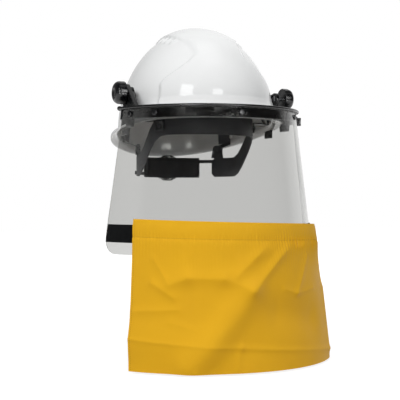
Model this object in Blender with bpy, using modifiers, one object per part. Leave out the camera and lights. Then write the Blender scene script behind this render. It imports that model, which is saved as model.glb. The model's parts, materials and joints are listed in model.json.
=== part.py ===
"""Hard hat with a lifting face shield, a bib on the shield and a ratchet suspension.

Metres, +Z up. The wearer faces -Y, and +X is the wearer's left.
The origin is on the dome's axis, level with the edge of the bill.
"""
import math

import bmesh
import bpy
from mathutils import Matrix, Vector

# Running and seating gap between two pieces
GAP = 0.0003

# Shell: a half ellipsoid with a flared brim, a bill and a raised crown and brow panel
DOME_HALF_WIDTH = 0.113
DOME_HALF_LENGTH = 0.136
DOME_HEIGHT = 0.1405
SHELL_WALL = 0.0026
REAR_RIM_DROP = 0.042
BRIM_FLARE = 0.011
BRIM_FALL = 0.007
BILL_REACH = 0.022
PANEL_RISE = 0.0035
PANEL_STEP_WIDTH = 0.010
PANEL_WAIST_HALF = 0.039
PANEL_REAR_HALF = 0.049
PANEL_BROW_HALF = 0.088
PANEL_WAIST_Y = -0.085
PANEL_REAR_Y = -0.030
PANEL_WAIST_HEIGHT = 0.092
PANEL_BROW_HEIGHT = 0.045
PANEL_RUNOUT_LOW = 0.012
PANEL_RUNOUT_HIGH = 0.032
SHELL_SEGMENTS = 56
SHELL_RINGS = 13
BRIM_STEPS = 3

# Sockets inside the shell for the suspension keys
KEY_ANGLES = {"front": math.radians(62), "rear": math.radians(125)}
SOCKET_WIDTH = 0.022
SOCKET_DEPTH = 0.0062
SOCKET_HEIGHT = 0.018
SOCKET_LIFT = 0.002
SOCKET_EMBED = 0.001
SOCKET_ROOF = 0.003

# Suspension keys, straps and headband
KEY_WIDTH = 0.016
KEY_THICKNESS = 0.002
KEY_NECK = 0.009
KEY_FOOT = 0.014
STRAP_WIDTH = 0.020
STRAP_THICKNESS = 0.0012
STRAP_CROWN_SPACE = 0.034
STRAP_CROSSING_SPACE = 0.0024
HEAD_RADIUS = 0.080
HEAD_STRAIGHT = 0.040
BAND_THICKNESS = 0.002
BAND_HEIGHT = 0.030
BAND_FRONT_HEIGHT = -0.007
NAPE_HEIGHT = -0.064
BAND_DROP_START = 0.085
BAND_DROP_LENGTH = 0.090
BAND_END_ANGLE = math.radians(50)
EAR_HALF_WIDTH = 0.011
EAR_RISE = 0.020
PAD_THICKNESS = 0.004
BROW_PAD_ANGLE = math.radians(58)
RIVET_RADIUS = 0.0016
RIVET_HEAD = 0.0034
RIVET_HEAD_HEIGHT = 0.0012

# Ratchet at the nape: two curved racks and a pinion between them
GEAR_MODULE = 0.0015
PINION_TEETH = 8
PRESSURE_ANGLE = math.radians(25)
ADDENDUM_SHARE = 0.7
TOOTH_ROOT_GAP = 0.00035
TOOTH_BACKLASH = 0.00035
RACK_THICKNESS = 0.002
RACK_BODY = 0.0052
RACK_TEETH_HALF = 0.030
RACK_TAIL = 0.104
CASE_ANGLE = math.radians(34)
CASE_WALL = 0.0024
CASE_FLANGE = 0.003
COVER_THICKNESS = 0.002
HUB_RADIUS = 0.004
RATCHET_KNOB_RADIUS = 0.021
RATCHET_KNOB_HEIGHT = 0.015
RATCHET_KNOB_LOBES = 14

# Shield pivots at the sides of the shell
HINGE_Y = -0.044
HINGE_HEIGHT = 0.038
BRACKET_STAND_OFF = 0.0055
BRACKET_PLATE = 0.004
# The bracket's inner end on the dome: its depth, its front and its top
BRACKET_DEPTH = 0.0235
BRACKET_ROOT_FRONT = -0.014
BRACKET_ROOT_TOP = 0.030
BRACKET_BOSS_RADIUS = 0.0092
BRACKET_FOOT_FRONT = -0.034
BRACKET_FOOT_LENGTH = 0.028
BRACKET_FOOT_HEIGHT = 0.012
BLADE_WIDTH = 0.022
BLADE_THICKNESS = 0.0026
BLADE_DEPTH = 0.013
BLADE_INSET = 0.0046
BOLT_RADIUS = 0.003
BOLT_HEAD_RADIUS = 0.0058
BOLT_HEAD_HEIGHT = 0.003
BOLT_HEAD_COVER = 0.0025
WASHER_THICKNESS = 0.0015
WASHER_RADIUS = 0.009
ARM_THICKNESS = 0.006
ARM_BOSS_RADIUS = 0.013
KNOB_RADIUS = 0.0165
KNOB_HEIGHT = 0.016
KNOB_LOBES = 10
KNOB_FLUTE = 0.0006

# Carrier band
ARM_TO_BAND = 0.0099
BILL_SPACE = 0.004
BAND_WALL = 0.003
CARRIER_TOP = 0.016
CARRIER_LIP = 0.004
CARRIER_BOTTOM = -0.002
LIP_OVERHANG = 0.006
LEDGE_THICKNESS = 0.003
LEDGE_SPACE = 0.0045
LEDGE_ANGLE = math.radians(70)
CARRIER_ANGLE = math.radians(78)
LIP_ROUND = 0.001
# The arms' feet and the tabs, measured forward from the middle of the band's curve
ARM_FOOT = (0.060, 0.011)
TAB_TOP = (0.0495, 0.013)
TAB_TIP = (0.043, 0.021)
TAB_TIP_HEIGHT = -0.0125
LIP_END_RADIUS = 0.0034
POCKET_DEPTH = 0.0012
STUD_POCKET = (0.025, 0.0105)
SLOT_POCKET = (0.025, 0.005)
SLOT_ANGLE = math.radians(19)

# Visor and what is fixed to it
VISOR_HEIGHT = 0.203
VISOR_SPREAD = 0.024
VISOR_WIDENING = 0.0667
VISOR_THICKNESS = 0.0012
VISOR_ANGLE = math.radians(75)
VISOR_LOW_CORNER = 0.026
VISOR_TOP_CORNER = 0.006
STUD_ANGLES = [math.radians(angle) for angle in (-68, -50, 0, 50, 68)]
STUD_RADIUS = 0.002
STUD_HEAD_RADIUS = 0.0042
STUD_HEAD_HEIGHT = 0.0018
STUD_COLLAR_HEIGHT = 0.0013
CLIP_ANGLE = math.radians(73)
CLIP_SIZE = Vector((0.008, 0.008, 0.012))
CLIP_HOLLOW = 0.55
TAPE_WIDTH = 0.025
TAPE_THICKNESS = 0.0012
TAPE_BOTTOM = -0.175
TAPE_INSET = 0.003
BIB_RIGHT_ANGLE = math.radians(-57)
BIB_LEFT_ANGLE = math.radians(70)
BIB_HEM_RIGHT_ANGLE = math.radians(-54)
BIB_TOP = -0.142
BIB_TOP_SLOPE = 0.010
BIB_LENGTH = 0.204
BIB_THICKNESS = 0.0016
FLAP_WIDTH = 0.028
FLAP_THICKNESS = 0.001
ELASTIC_WIDTH = 0.020
ELASTIC_THICKNESS = 0.001

# Facet lengths of bent sheets, and the straps' as a share of half their run
FINE_FACET = 0.0065
HEAD_FACET = 0.013
STRAP_FACET = 0.1
SHEET_FACET = 0.016

# Sizes that follow from the ones above
HALF_TURN = math.pi
QUARTER_TURN = math.pi / 2
BRACKET_FACE = DOME_HALF_WIDTH + BRACKET_STAND_OFF
ARM_INNER = BRACKET_FACE + WASHER_THICKNESS + 2 * GAP
ARM_OUTER = ARM_INNER + ARM_THICKNESS
CARRIER_RADIUS = ARM_OUTER + ARM_TO_BAND
BILL_TIP = DOME_HALF_LENGTH + BILL_REACH
CARRIER_Y = CARRIER_RADIUS - BILL_TIP - PANEL_RISE - BILL_SPACE
BAND_FACE = CARRIER_RADIUS + BAND_WALL
VISOR_TOP = CARRIER_TOP - CARRIER_LIP - 2 * GAP
VISOR_TOP_RADIUS = BAND_FACE + GAP + VISOR_THICKNESS / 2
VISOR_SLOPE = VISOR_SPREAD / VISOR_HEIGHT
STUD_HEIGHT = (CARRIER_TOP - CARRIER_LIP + CARRIER_BOTTOM) / 2
HEAD_QUARTER = HEAD_RADIUS * QUARTER_TURN
NAPE_Y = HEAD_STRAIGHT / 2
PITCH_RADIUS = GEAR_MODULE * PINION_TEETH / 2
TOOTH_HEIGHT = GEAR_MODULE * ADDENDUM_SHARE
RACK_RADIUS = HEAD_RADIUS + BAND_THICKNESS / 2 + GAP + RACK_THICKNESS / 2
RACK_TOP = PITCH_RADIUS + TOOTH_HEIGHT + TOOTH_ROOT_GAP + RACK_BODY
CASE_INNER = RACK_RADIUS - RACK_THICKNESS / 2 - GAP - CASE_WALL
CASE_OUTER = RACK_RADIUS + RACK_THICKNESS / 2 + 2 * GAP
COVER_RADIUS = CASE_OUTER + GAP + COVER_THICKNESS / 2
RATCHET_KNOB_Y = NAPE_Y + COVER_RADIUS + COVER_THICKNESS / 2 + GAP

PAINTS = {
    "white_shell": ((0.86, 0.87, 0.88), 0.14, 0.0),
    "black_nylon": ((0.012, 0.013, 0.015), 0.38, 0.0),
    "grey_webbing": ((0.10, 0.10, 0.11), 0.85, 0.0),
    "grey_nylon": ((0.045, 0.046, 0.05), 0.5, 0.0),
    "foam": ((0.03, 0.03, 0.03), 0.9, 0.0),
    "steel": ((0.55, 0.56, 0.58), 0.3, 1.0),
    "clear_sheet": ((0.9, 0.92, 0.92), 0.05, 0.0),
    "black_tape": ((0.008, 0.008, 0.008), 0.95, 0.0),
    "yellow_cloth": ((0.72, 0.40, 0.014), 0.6, 0.0),
    "white_elastic": ((0.7, 0.7, 0.66), 0.8, 0.0),
}


def clear_scene():
    for obj in list(bpy.data.objects):
        bpy.data.objects.remove(obj, do_unlink=True)


def new_collection(name):
    collection = bpy.data.collections.new(name)
    bpy.context.scene.collection.children.link(collection)
    return collection


def new_paint(name):
    colour, roughness, metallic = PAINTS[name]
    paint = bpy.data.materials.new(name)
    paint.use_nodes = True
    shader = paint.node_tree.nodes["Principled BSDF"]
    shader.inputs["Base Color"].default_value = (*colour, 1.0)
    shader.inputs["Roughness"].default_value = roughness
    shader.inputs["Metallic"].default_value = metallic
    return paint


clear_scene()
PARTS = new_collection("hard_hat")
CUTTERS = new_collection("cutters")
MATERIALS = {name: new_paint(name) for name in PAINTS}


def pivot(name, place):
    """An empty on a joint's axis, which carries the pieces that move with it."""
    empty = bpy.data.objects.new(name, None)
    empty.location = place
    empty.empty_display_size = 0.01
    PARTS.objects.link(empty)
    return empty


def mesh_object(name, bm, collection, carrier=None):
    """A mesh in world places becomes an object, held by an empty if one is given."""
    bmesh.ops.recalc_face_normals(bm, faces=bm.faces)
    closed = all(edge.is_manifold for edge in bm.edges)
    if closed and bm.calc_volume(signed=True) < 0:
        bmesh.ops.reverse_faces(bm, faces=bm.faces)
    if carrier is not None:
        bmesh.ops.translate(bm, verts=bm.verts, vec=-carrier.location)
    mesh = bpy.data.meshes.new(name)
    bm.to_mesh(mesh)
    bm.free()
    obj = bpy.data.objects.new(name, mesh)
    obj.parent = carrier
    collection.objects.link(obj)
    return obj


def part(name, bm, paint, carrier=None):
    obj = mesh_object(name, bm, PARTS, carrier)
    obj.data.materials.append(MATERIALS[paint])
    obj.data.shade_smooth()
    obj.data.set_sharp_from_angle(angle=math.radians(35))
    return obj


def cutter(name, bm):
    obj = mesh_object(name, bm, CUTTERS)
    obj.hide_render = True
    obj.display_type = "WIRE"
    return obj


def combine(obj, other, operation):
    modifier = obj.modifiers.new(other.name, "BOOLEAN")
    modifier.object = other
    modifier.operation = operation
    modifier.solver = "EXACT"


def mirrored(bm):
    """The same shape on the wearer's other side."""
    bmesh.ops.scale(bm, vec=(-1, 1, 1), verts=bm.verts)
    bmesh.ops.reverse_faces(bm, faces=bm.faces)
    return bm


def smooth_step(low, high, value):
    share = min(max((value - low) / (high - low), 0.0), 1.0)
    return share * share * (3 - 2 * share)


def add_box(bm, centre, size, outward=Vector((1, 0, 0))):
    """A box with its first size along a level direction and its last size upright."""
    turn = Matrix.Rotation(math.atan2(outward.y, outward.x), 4, "Z")
    place = Matrix.Translation(centre) @ turn @ Matrix.Diagonal((*size, 1))
    bmesh.ops.create_cube(bm, size=1, matrix=place)


def add_rod(bm, start, end, radius, sides=16):
    """A closed round bar between two points."""
    run = Vector(end) - Vector(start)
    turn = run.to_track_quat("Z", "Y").to_matrix().to_4x4()
    place = Matrix.Translation((Vector(start) + Vector(end)) / 2) @ turn
    bmesh.ops.create_cone(bm, cap_ends=True, segments=sides, radius1=radius, radius2=radius,
                          depth=run.length, matrix=place)


def hull(points):
    """The convex solid round a set of points."""
    bm = bmesh.new()
    for point in points:
        bm.verts.new(point)
    skin = bmesh.ops.convex_hull(bm, input=bm.verts)
    spare = [item for item in skin["geom_interior"] if isinstance(item, bmesh.types.BMVert)]
    bmesh.ops.delete(bm, geom=spare, context="VERTS")
    return bm


def side_plate(outline, inner, outer):
    """The convex outline, given in the Y and Z directions, as a plate on the wearer's left."""
    return hull([(x, y, z) for y, z in outline for x in (inner, outer)])


def swept(profile, centre_y, start, end, steps):
    """A closed section, given as radius and height, carried round an upright axis from the front."""
    bm = bmesh.new()
    turn = (math.sin(start), -math.cos(start))
    bm.faces.new([bm.verts.new((r * turn[0], centre_y + r * turn[1], z)) for r, z in profile])
    geometry = bm.verts[:] + bm.edges[:] + bm.faces[:]
    bmesh.ops.spin(bm, geom=geometry, cent=(0, centre_y, 0), axis=(0, 0, 1), angle=end - start, steps=steps)
    return bm


def turned(name, profile, place, direction, paint, carrier=None, steps=16):
    """A profile of radius and height, top to bottom on its outer side, turned about a direction."""
    mesh = bpy.data.meshes.new(name)
    points = [(radius, 0, height) for radius, height in profile]
    mesh.from_pydata(points, [(i, i + 1) for i in range(len(points) - 1)], [])
    mesh.materials.append(MATERIALS[paint])
    obj = bpy.data.objects.new(name, mesh)
    PARTS.objects.link(obj)
    obj.location = Vector(place) - (carrier.location if carrier else Vector())
    obj.rotation_euler = Vector(direction).to_track_quat("Z", "Y").to_euler()
    obj.parent = carrier
    screw = obj.modifiers.new("turn", "SCREW")
    screw.axis = "Z"
    screw.angle = 2 * HALF_TURN
    screw.steps = steps
    screw.render_steps = steps
    screw.use_merge_vertices = True
    screw.merge_threshold = 0.00001
    return obj


def circle(centre, radius, sides, start=0.0):
    angles = [start + 2 * HALF_TURN * i / sides for i in range(sides)]
    return [(centre[0] + radius * math.cos(a), centre[1] + radius * math.sin(a)) for a in angles]


def rounded_rectangle(left, right, low, high, low_corner, high_corner, steps=5):
    """A rectangle with one corner radius at its foot and one at its top."""
    outline = []
    corners = [(right - low_corner, low + low_corner, low_corner, -QUARTER_TURN),
               (right - high_corner, high - high_corner, high_corner, 0.0),
               (left + high_corner, high - high_corner, high_corner, QUARTER_TURN),
               (left + low_corner, low + low_corner, low_corner, HALF_TURN)]
    for x, y, radius, start in corners:
        for i in range(steps + 1):
            angle = start + QUARTER_TURN * i / steps
            outline.append((x + radius * math.cos(angle), y + radius * math.sin(angle)))
    return outline


def flat_blank(outlines, thickness):
    """A flat sheet cut to an outline, with any holes, its thickness along Z."""
    curve = bpy.data.curves.new("blank", "CURVE")
    curve.dimensions = "2D"
    curve.fill_mode = "BOTH"
    curve.extrude = thickness / 2
    for outline in outlines:
        spline = curve.splines.new("POLY")
        spline.points.add(len(outline) - 1)
        for point, (x, y) in zip(spline.points, outline):
            point.co = (x, y, 0, 1)
        spline.use_cyclic_u = True
    obj = bpy.data.objects.new("blank", curve)
    CUTTERS.objects.link(obj)
    view = bpy.context.evaluated_depsgraph_get()
    mesh = bpy.data.meshes.new_from_object(obj.evaluated_get(view))
    bm = bmesh.new()
    bm.from_mesh(mesh)
    bmesh.ops.remove_doubles(bm, verts=bm.verts, dist=0.000005)
    bpy.data.objects.remove(obj)
    bpy.data.curves.remove(curve)
    bpy.data.meshes.remove(mesh)
    return bm


def bent(outlines, thickness, place, facet):
    """A flat blank creased at even steps along its length and laid on a curved surface."""
    bm = flat_blank(outlines, thickness)
    xs = [x for x, y in outlines[0]]
    count = max(1, math.ceil((max(xs) - min(xs)) / facet))
    for i in range(1, count):
        crease = min(xs) + (max(xs) - min(xs)) * i / count
        geometry = bm.verts[:] + bm.edges[:] + bm.faces[:]
        bmesh.ops.bisect_plane(bm, geom=geometry, dist=0.000001, plane_co=(crease, 0, 0), plane_no=(1, 0, 0))
    for vert in bm.verts:
        vert.co = place(*vert.co)
    return bm


def lobed(radius, depth, lobes, sides_per_lobe=3):
    """The outline of a fluted grip."""
    count = lobes * sides_per_lobe
    angles = [2 * HALF_TURN * i / count for i in range(count)]
    return [Vector((math.cos(a), math.sin(a))) * (radius - depth * (1 - math.cos(lobes * a)) / 2)
            for a in angles]


def stacked(outline, sections):
    """A solid lofted through scaled copies of an outline, each at its own height."""
    bm = bmesh.new()
    rings = [[bm.verts.new((x * scale, y * scale, height)) for x, y in outline] for height, scale in sections]
    count = len(outline)
    for lower, upper in zip(rings, rings[1:]):
        for i in range(count):
            bm.faces.new((lower[i], lower[(i + 1) % count], upper[(i + 1) % count], upper[i]))
    bm.faces.new(reversed(rings[0]))
    bm.faces.new(rings[-1])
    return bm


def laid_along(bm, place, direction):
    """Turns a solid from its own Z axis to a direction and moves it to its place."""
    turn = Vector(direction).to_track_quat("Z", "Y").to_matrix().to_4x4()
    bmesh.ops.transform(bm, matrix=Matrix.Translation(place) @ turn, verts=bm.verts)
    return bm


def brim_edge_height(angle):
    """The rim is level with the origin at the front and falls towards the rear."""
    rearward = (1 - math.cos(angle)) / 2
    return -REAR_RIM_DROP * rearward ** 2


def panel_rise(point):
    """The raised panel runs along the crown and widens into the brow, with an S-shaped edge."""
    half = PANEL_WAIST_HALF
    half += (PANEL_REAR_HALF - PANEL_WAIST_HALF) * smooth_step(PANEL_WAIST_Y, PANEL_REAR_Y, point.y)
    runout = smooth_step(PANEL_RUNOUT_LOW, PANEL_RUNOUT_HIGH, point.z)
    if point.y < 0:
        half += (PANEL_BROW_HALF - half) * smooth_step(PANEL_WAIST_HEIGHT, PANEL_BROW_HEIGHT, point.z)
        runout = 1.0
    across = smooth_step(-PANEL_STEP_WIDTH / 2, PANEL_STEP_WIDTH / 2, half - abs(point.x))
    return PANEL_RISE * across * runout


def dome_point(angle, polar):
    """The outer face of the dome, by the angle from the front and the angle from the top."""
    base = brim_edge_height(angle) + BRIM_FALL
    reach = math.sin(polar)
    point = Vector((DOME_HALF_WIDTH * reach * math.sin(angle),
                    -DOME_HALF_LENGTH * reach * math.cos(angle),
                    base + (DOME_HEIGHT - base) * math.cos(polar)))
    spans = (DOME_HALF_WIDTH, DOME_HALF_LENGTH, DOME_HEIGHT)
    slope = Vector([value / span ** 2 for value, span in zip(point, spans)])
    return point + slope.normalized() * panel_rise(point)


def outward(angle):
    """The level direction straight out of the dome's wall."""
    return Vector((math.sin(angle) / DOME_HALF_WIDTH, -math.cos(angle) / DOME_HALF_LENGTH, 0)).normalized()


def wall_point(angle, height):
    base = brim_edge_height(angle) + BRIM_FALL
    return dome_point(angle, math.acos((height - base) / (DOME_HEIGHT - base)))


def brim_point(angle, share):
    """The brim leaves the wall upright and ends level, on a quarter of an ellipse."""
    bill = max(math.cos(angle), 0.0) ** 2
    reach = BRIM_FLARE + (BILL_REACH - BRIM_FLARE) * bill
    turn = share * QUARTER_TURN
    start = dome_point(angle, QUARTER_TURN)
    return start + outward(angle) * reach * (1 - math.cos(turn)) - Vector((0, 0, BRIM_FALL * math.sin(turn)))


def shell_surface():
    """The outer face of the shell, open at the brim."""
    bm = bmesh.new()
    bmesh.ops.create_uvsphere(bm, u_segments=SHELL_SEGMENTS, v_segments=2 * SHELL_RINGS, radius=1)
    bmesh.ops.delete(bm, geom=[v for v in bm.verts if v.co.z < -0.01], context="VERTS")
    from_front = bm.verts.layers.float.new("from_front")
    for vert in bm.verts:
        vert[from_front] = math.atan2(vert.co.x, -vert.co.y)
        vert.co = dome_point(vert[from_front], math.acos(min(max(vert.co.z, 0.0), 1.0)))
    edges = [edge for edge in bm.edges if edge.is_boundary]
    for step in range(1, BRIM_STEPS + 1):
        grown = bmesh.ops.extrude_edge_only(bm, edges=edges)["geom"]
        for vert in [item for item in grown if isinstance(item, bmesh.types.BMVert)]:
            vert.co = brim_point(vert[from_front], step / BRIM_STEPS)
        edges = [item for item in grown if isinstance(item, bmesh.types.BMEdge) and item.is_boundary]
    bmesh.ops.recalc_face_normals(bm, faces=bm.faces)
    bm.normal_update()
    if max(bm.verts, key=lambda vert: vert.co.z).normal.z < 0:
        bmesh.ops.reverse_faces(bm, faces=bm.faces)
    return bm


def shell_clearance():
    """The space that the shell takes up, with a gap, closed far below the brim."""
    bm = shell_surface()
    bm.normal_update()
    offsets = {vert: vert.normal * GAP for vert in bm.verts}
    for vert, offset in offsets.items():
        vert.co += offset
    edges = [edge for edge in bm.edges if edge.is_boundary]
    grown = bmesh.ops.extrude_edge_only(bm, edges=edges)["geom"]
    floor = -REAR_RIM_DROP - DOME_HEIGHT
    for vert in [item for item in grown if isinstance(item, bmesh.types.BMVert)]:
        vert.co.z = floor
    bmesh.ops.holes_fill(bm, edges=[edge for edge in bm.edges if edge.is_boundary])
    return bm


def key_station(angle):
    """The slot centre of a socket in plan, its lower edge and the way out through the wall."""
    low = brim_edge_height(angle) + BRIM_FALL + SOCKET_LIFT
    way = outward(angle)
    wall = wall_point(angle, low + SOCKET_HEIGHT)
    middle = wall - way * (SOCKET_EMBED + SOCKET_DEPTH / 2)
    return Vector((middle.x, middle.y, 0)), low, way


def key_stations():
    """Every key's name with its angle from the front."""
    stations = {}
    for end, angle in KEY_ANGLES.items():
        stations[end + "_left"] = angle
        stations[end + "_right"] = -angle
    return stations


def blade_place():
    """The centre of the bracket's blade, in the side of the brim."""
    y = BRACKET_FOOT_FRONT + BRACKET_FOOT_LENGTH / 2
    angle = math.acos(-y / DOME_HALF_LENGTH)
    edge = brim_point(angle, 1.0)
    return Vector((edge.x - BLADE_INSET - BLADE_THICKNESS / 2, y, edge.z))


def build_shell():
    shell = part("shell", shell_surface(), "white_shell")
    wall = shell.modifiers.new("wall", "SOLIDIFY")
    wall.thickness = SHELL_WALL
    wall.offset = -1
    sockets = bmesh.new()
    slots = bmesh.new()
    for angle in key_stations().values():
        middle, low, way = key_station(angle)
        size = (SOCKET_DEPTH, SOCKET_WIDTH, SOCKET_HEIGHT)
        add_box(sockets, middle + Vector((0, 0, low + SOCKET_HEIGHT / 2)), size, way)
        depth = SOCKET_HEIGHT - SOCKET_ROOF
        size = (KEY_THICKNESS + 2 * GAP, KEY_WIDTH + 2 * GAP, 2 * depth)
        add_box(slots, middle + Vector((0, 0, low)), size, way)
    blade = blade_place()
    for side in (1, -1):
        size = (BLADE_THICKNESS + 2 * GAP, BLADE_WIDTH + 2 * GAP, 4 * BRIM_FALL)
        add_box(slots, Vector((side * blade.x, blade.y, blade.z)), size)
    combine(shell, cutter("shell_sockets", sockets), "UNION")
    combine(shell, cutter("shell_slots", slots), "DIFFERENCE")


def build_brackets(clearance):
    """Adapters that stand in the brim's slots and follow the dome up to the pivots."""
    blade = blade_place()
    foot_rear = BRACKET_FOOT_FRONT + BRACKET_FOOT_LENGTH
    foot = [(y, blade.z + z) for y in (BRACKET_FOOT_FRONT, foot_rear) for z in (0, BRACKET_FOOT_HEIGHT)]
    outline = circle((HINGE_Y, HINGE_HEIGHT), BRACKET_BOSS_RADIUS, 20) + foot
    root = [(BRACKET_FACE - BRACKET_DEPTH, y, z)
            for y in (BRACKET_ROOT_FRONT, foot_rear) for z in (blade.z, BRACKET_ROOT_TOP)]
    plate = [(x, *point) for x in (BRACKET_FACE - BRACKET_PLATE, BRACKET_FACE) for point in outline]
    axis = Vector((0, HINGE_Y, HINGE_HEIGHT))
    reach = Vector((BRACKET_FACE, 0, 0))
    for name, mirror in (("left", False), ("right", True)):
        body = hull(plate + root)
        tongue = bmesh.new()
        size = (BLADE_THICKNESS, BLADE_WIDTH, BLADE_DEPTH + BRACKET_FOOT_HEIGHT / 2)
        add_box(tongue, blade + Vector((0, 0, BRACKET_FOOT_HEIGHT / 4 - BLADE_DEPTH / 2)), size)
        bore = bmesh.new()
        add_rod(bore, axis, axis + reach * 2, BOLT_RADIUS + GAP)
        pocket = bmesh.new()
        add_rod(pocket, axis + reach / 2, axis + Vector((BRACKET_FACE - BOLT_HEAD_COVER, 0, 0)),
                BOLT_HEAD_RADIUS + 2 * GAP, 6)
        pieces = [mirrored(bm) if mirror else bm for bm in (body, tongue, bore, pocket)]
        bracket = part("side_bracket_" + name, pieces[0], "black_nylon")
        combine(bracket, clearance, "DIFFERENCE")
        combine(bracket, cutter("blade_" + name, pieces[1]), "UNION")
        combine(bracket, cutter("pivot_bore_" + name, pieces[2]), "DIFFERENCE")
        combine(bracket, cutter("bolt_pocket_" + name, pieces[3]), "DIFFERENCE")


def build_pivots():
    """Bolt, washer and knob of each shield pivot, from the bracket outwards."""
    head_inner = BRACKET_FACE - BOLT_HEAD_COVER - BOLT_HEAD_HEIGHT + GAP
    knob_face = ARM_OUTER + GAP
    bolt_end = knob_face + KNOB_HEIGHT * 0.6
    for name, side in (("left", 1), ("right", -1)):
        centre = Vector((0, HINGE_Y, HINGE_HEIGHT))
        way = Vector((side, 0, 0))
        bolt = bmesh.new()
        add_rod(bolt, centre + way * head_inner, centre + way * bolt_end, BOLT_RADIUS)
        bolt_head = bmesh.new()
        head_outer = head_inner + BOLT_HEAD_HEIGHT - 2 * GAP
        add_rod(bolt_head, centre + way * head_inner, centre + way * head_outer, BOLT_HEAD_RADIUS, 6)
        shank = part("pivot_bolt_" + name, bolt, "steel")
        combine(shank, cutter("bolt_head_" + name, bolt_head), "UNION")
        inner = BOLT_RADIUS + GAP
        ring = [(inner, 0), (inner, WASHER_THICKNESS), (WASHER_RADIUS, WASHER_THICKNESS),
                (WASHER_RADIUS, 0), (inner, 0)]
        turned("friction_washer_" + name, ring, centre + way * (BRACKET_FACE + GAP), way, "grey_nylon")
        axis = pivot("tension_axis_" + name, centre + way * knob_face)
        sections = [(0, 0.9), (0.001, 1.0), (KNOB_HEIGHT * 0.5, 1.0), (KNOB_HEIGHT * 0.78, 0.86),
                    (KNOB_HEIGHT * 0.94, 0.66), (KNOB_HEIGHT, 0.45)]
        grip = stacked(lobed(KNOB_RADIUS, KNOB_FLUTE, KNOB_LOBES), sections)
        knob = part("tension_knob_" + name, laid_along(grip, axis.location, way), "black_nylon", axis)
        socket = bmesh.new()
        add_rod(socket, centre, centre + way * (bolt_end + 2 * GAP), BOLT_RADIUS + GAP)
        combine(knob, cutter("knob_socket_" + name, socket), "DIFFERENCE")


def head_place(run, height, depth):
    """A point of the headband: its run from the front, its height in the band and its depth outwards."""
    side = math.copysign(1, run)
    run = abs(run)
    reach = HEAD_RADIUS + depth
    if run <= HEAD_QUARTER:
        turn = run / HEAD_RADIUS
        x, y = reach * math.sin(turn), -NAPE_Y - reach * math.cos(turn)
    elif run <= HEAD_QUARTER + HEAD_STRAIGHT:
        x, y = reach, -NAPE_Y + run - HEAD_QUARTER
    else:
        turn = (run - HEAD_QUARTER - HEAD_STRAIGHT) / HEAD_RADIUS
        x, y = reach * math.cos(turn), NAPE_Y + reach * math.sin(turn)
    fall = smooth_step(BAND_DROP_START, BAND_DROP_START + BAND_DROP_LENGTH, run)
    return side * x, y, height + BAND_FRONT_HEIGHT + (NAPE_HEIGHT - BAND_FRONT_HEIGHT) * fall


def hanger(angle, end):
    """A key's foot on the headband: its reach, how deep the band lies there, its run and its height."""
    middle, low, way = key_station(abs(angle))
    centre = Vector((0, NAPE_Y if end == "rear" else -NAPE_Y, 0))
    radius = HEAD_RADIUS + BAND_THICKNESS / 2
    along = (middle - centre).dot(way)
    aside = (middle - centre - way * along).length
    near = max(aside - KEY_WIDTH / 2, 0.0)
    reach = along - math.sqrt(radius ** 2 - near ** 2)
    depth = along - math.sqrt(radius ** 2 - aside ** 2)
    foot = middle - way * depth - centre
    if end == "rear":
        run = HEAD_QUARTER + HEAD_STRAIGHT + HEAD_RADIUS * math.atan2(foot.y, foot.x)
        rise = BAND_HEIGHT / 2 + EAR_RISE / 2
    else:
        run = HEAD_RADIUS * math.atan2(foot.x, -foot.y)
        rise = 0.0
    return reach, depth, run, rise


def key_path(angle, end):
    """The key's centre line, as distance inwards and height, from its tongue to its foot."""
    middle, low, way = key_station(abs(angle))
    reach, depth, run, rise = hanger(angle, end)
    foot = head_place(run, rise, 0)[2]
    inwards = reach - GAP - KEY_THICKNESS / 2
    return [(0.0, low + SOCKET_HEIGHT - SOCKET_ROOF - GAP), (0.0, low - KEY_NECK),
            (inwards, foot + KEY_FOOT / 2), (inwards, foot - KEY_FOOT / 2)]


def build_keys():
    """Moulded keys that plug up into the sockets and carry the headband on their feet."""
    for name, angle in key_stations().items():
        end = name.split("_")[0]
        middle, low, way = key_station(angle)
        across = Vector((-way.y, way.x, 0))
        bm = bmesh.new()
        line = [bm.verts.new(middle - way * d + Vector((0, 0, z)) - across * KEY_WIDTH / 2)
                for d, z in key_path(angle, end)]
        edges = [bm.edges.new(pair) for pair in zip(line, line[1:])]
        grown = bmesh.ops.extrude_edge_only(bm, edges=edges)["geom"]
        moved = [item for item in grown if isinstance(item, bmesh.types.BMVert)]
        bmesh.ops.translate(bm, verts=moved, vec=across * KEY_WIDTH)
        key = part("suspension_key_" + name, bm, "black_nylon")
        wall = key.modifiers.new("wall", "SOLIDIFY")
        wall.thickness = KEY_THICKNESS
        wall.offset = 0
        wall.use_even_offset = True
        reach, depth, run, rise = hanger(angle, end)
        height = head_place(run, rise, 0)[2]
        face = middle - way * depth + Vector((0, 0, height))
        hole = bmesh.new()
        add_rod(hole, face - way * KEY_FOOT, face + way * KEY_THICKNESS * 3, RIVET_RADIUS + GAP, 12)
        combine(key, cutter("rivet_hole_" + name, hole), "DIFFERENCE")
        top = depth - reach + KEY_THICKNESS + 2 * GAP
        foot = -BAND_THICKNESS - 2 * GAP
        crown = top + RIVET_HEAD_HEIGHT
        clinch = foot - RIVET_HEAD_HEIGHT
        profile = [(0, crown), (RIVET_HEAD * 0.7, crown), (RIVET_HEAD, top), (RIVET_RADIUS, top),
                   (RIVET_RADIUS, foot), (RIVET_HEAD, foot), (RIVET_HEAD, clinch), (0, clinch)]
        turned("hanger_rivet_" + name, profile, face, way, "grey_nylon", steps=10)


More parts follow.
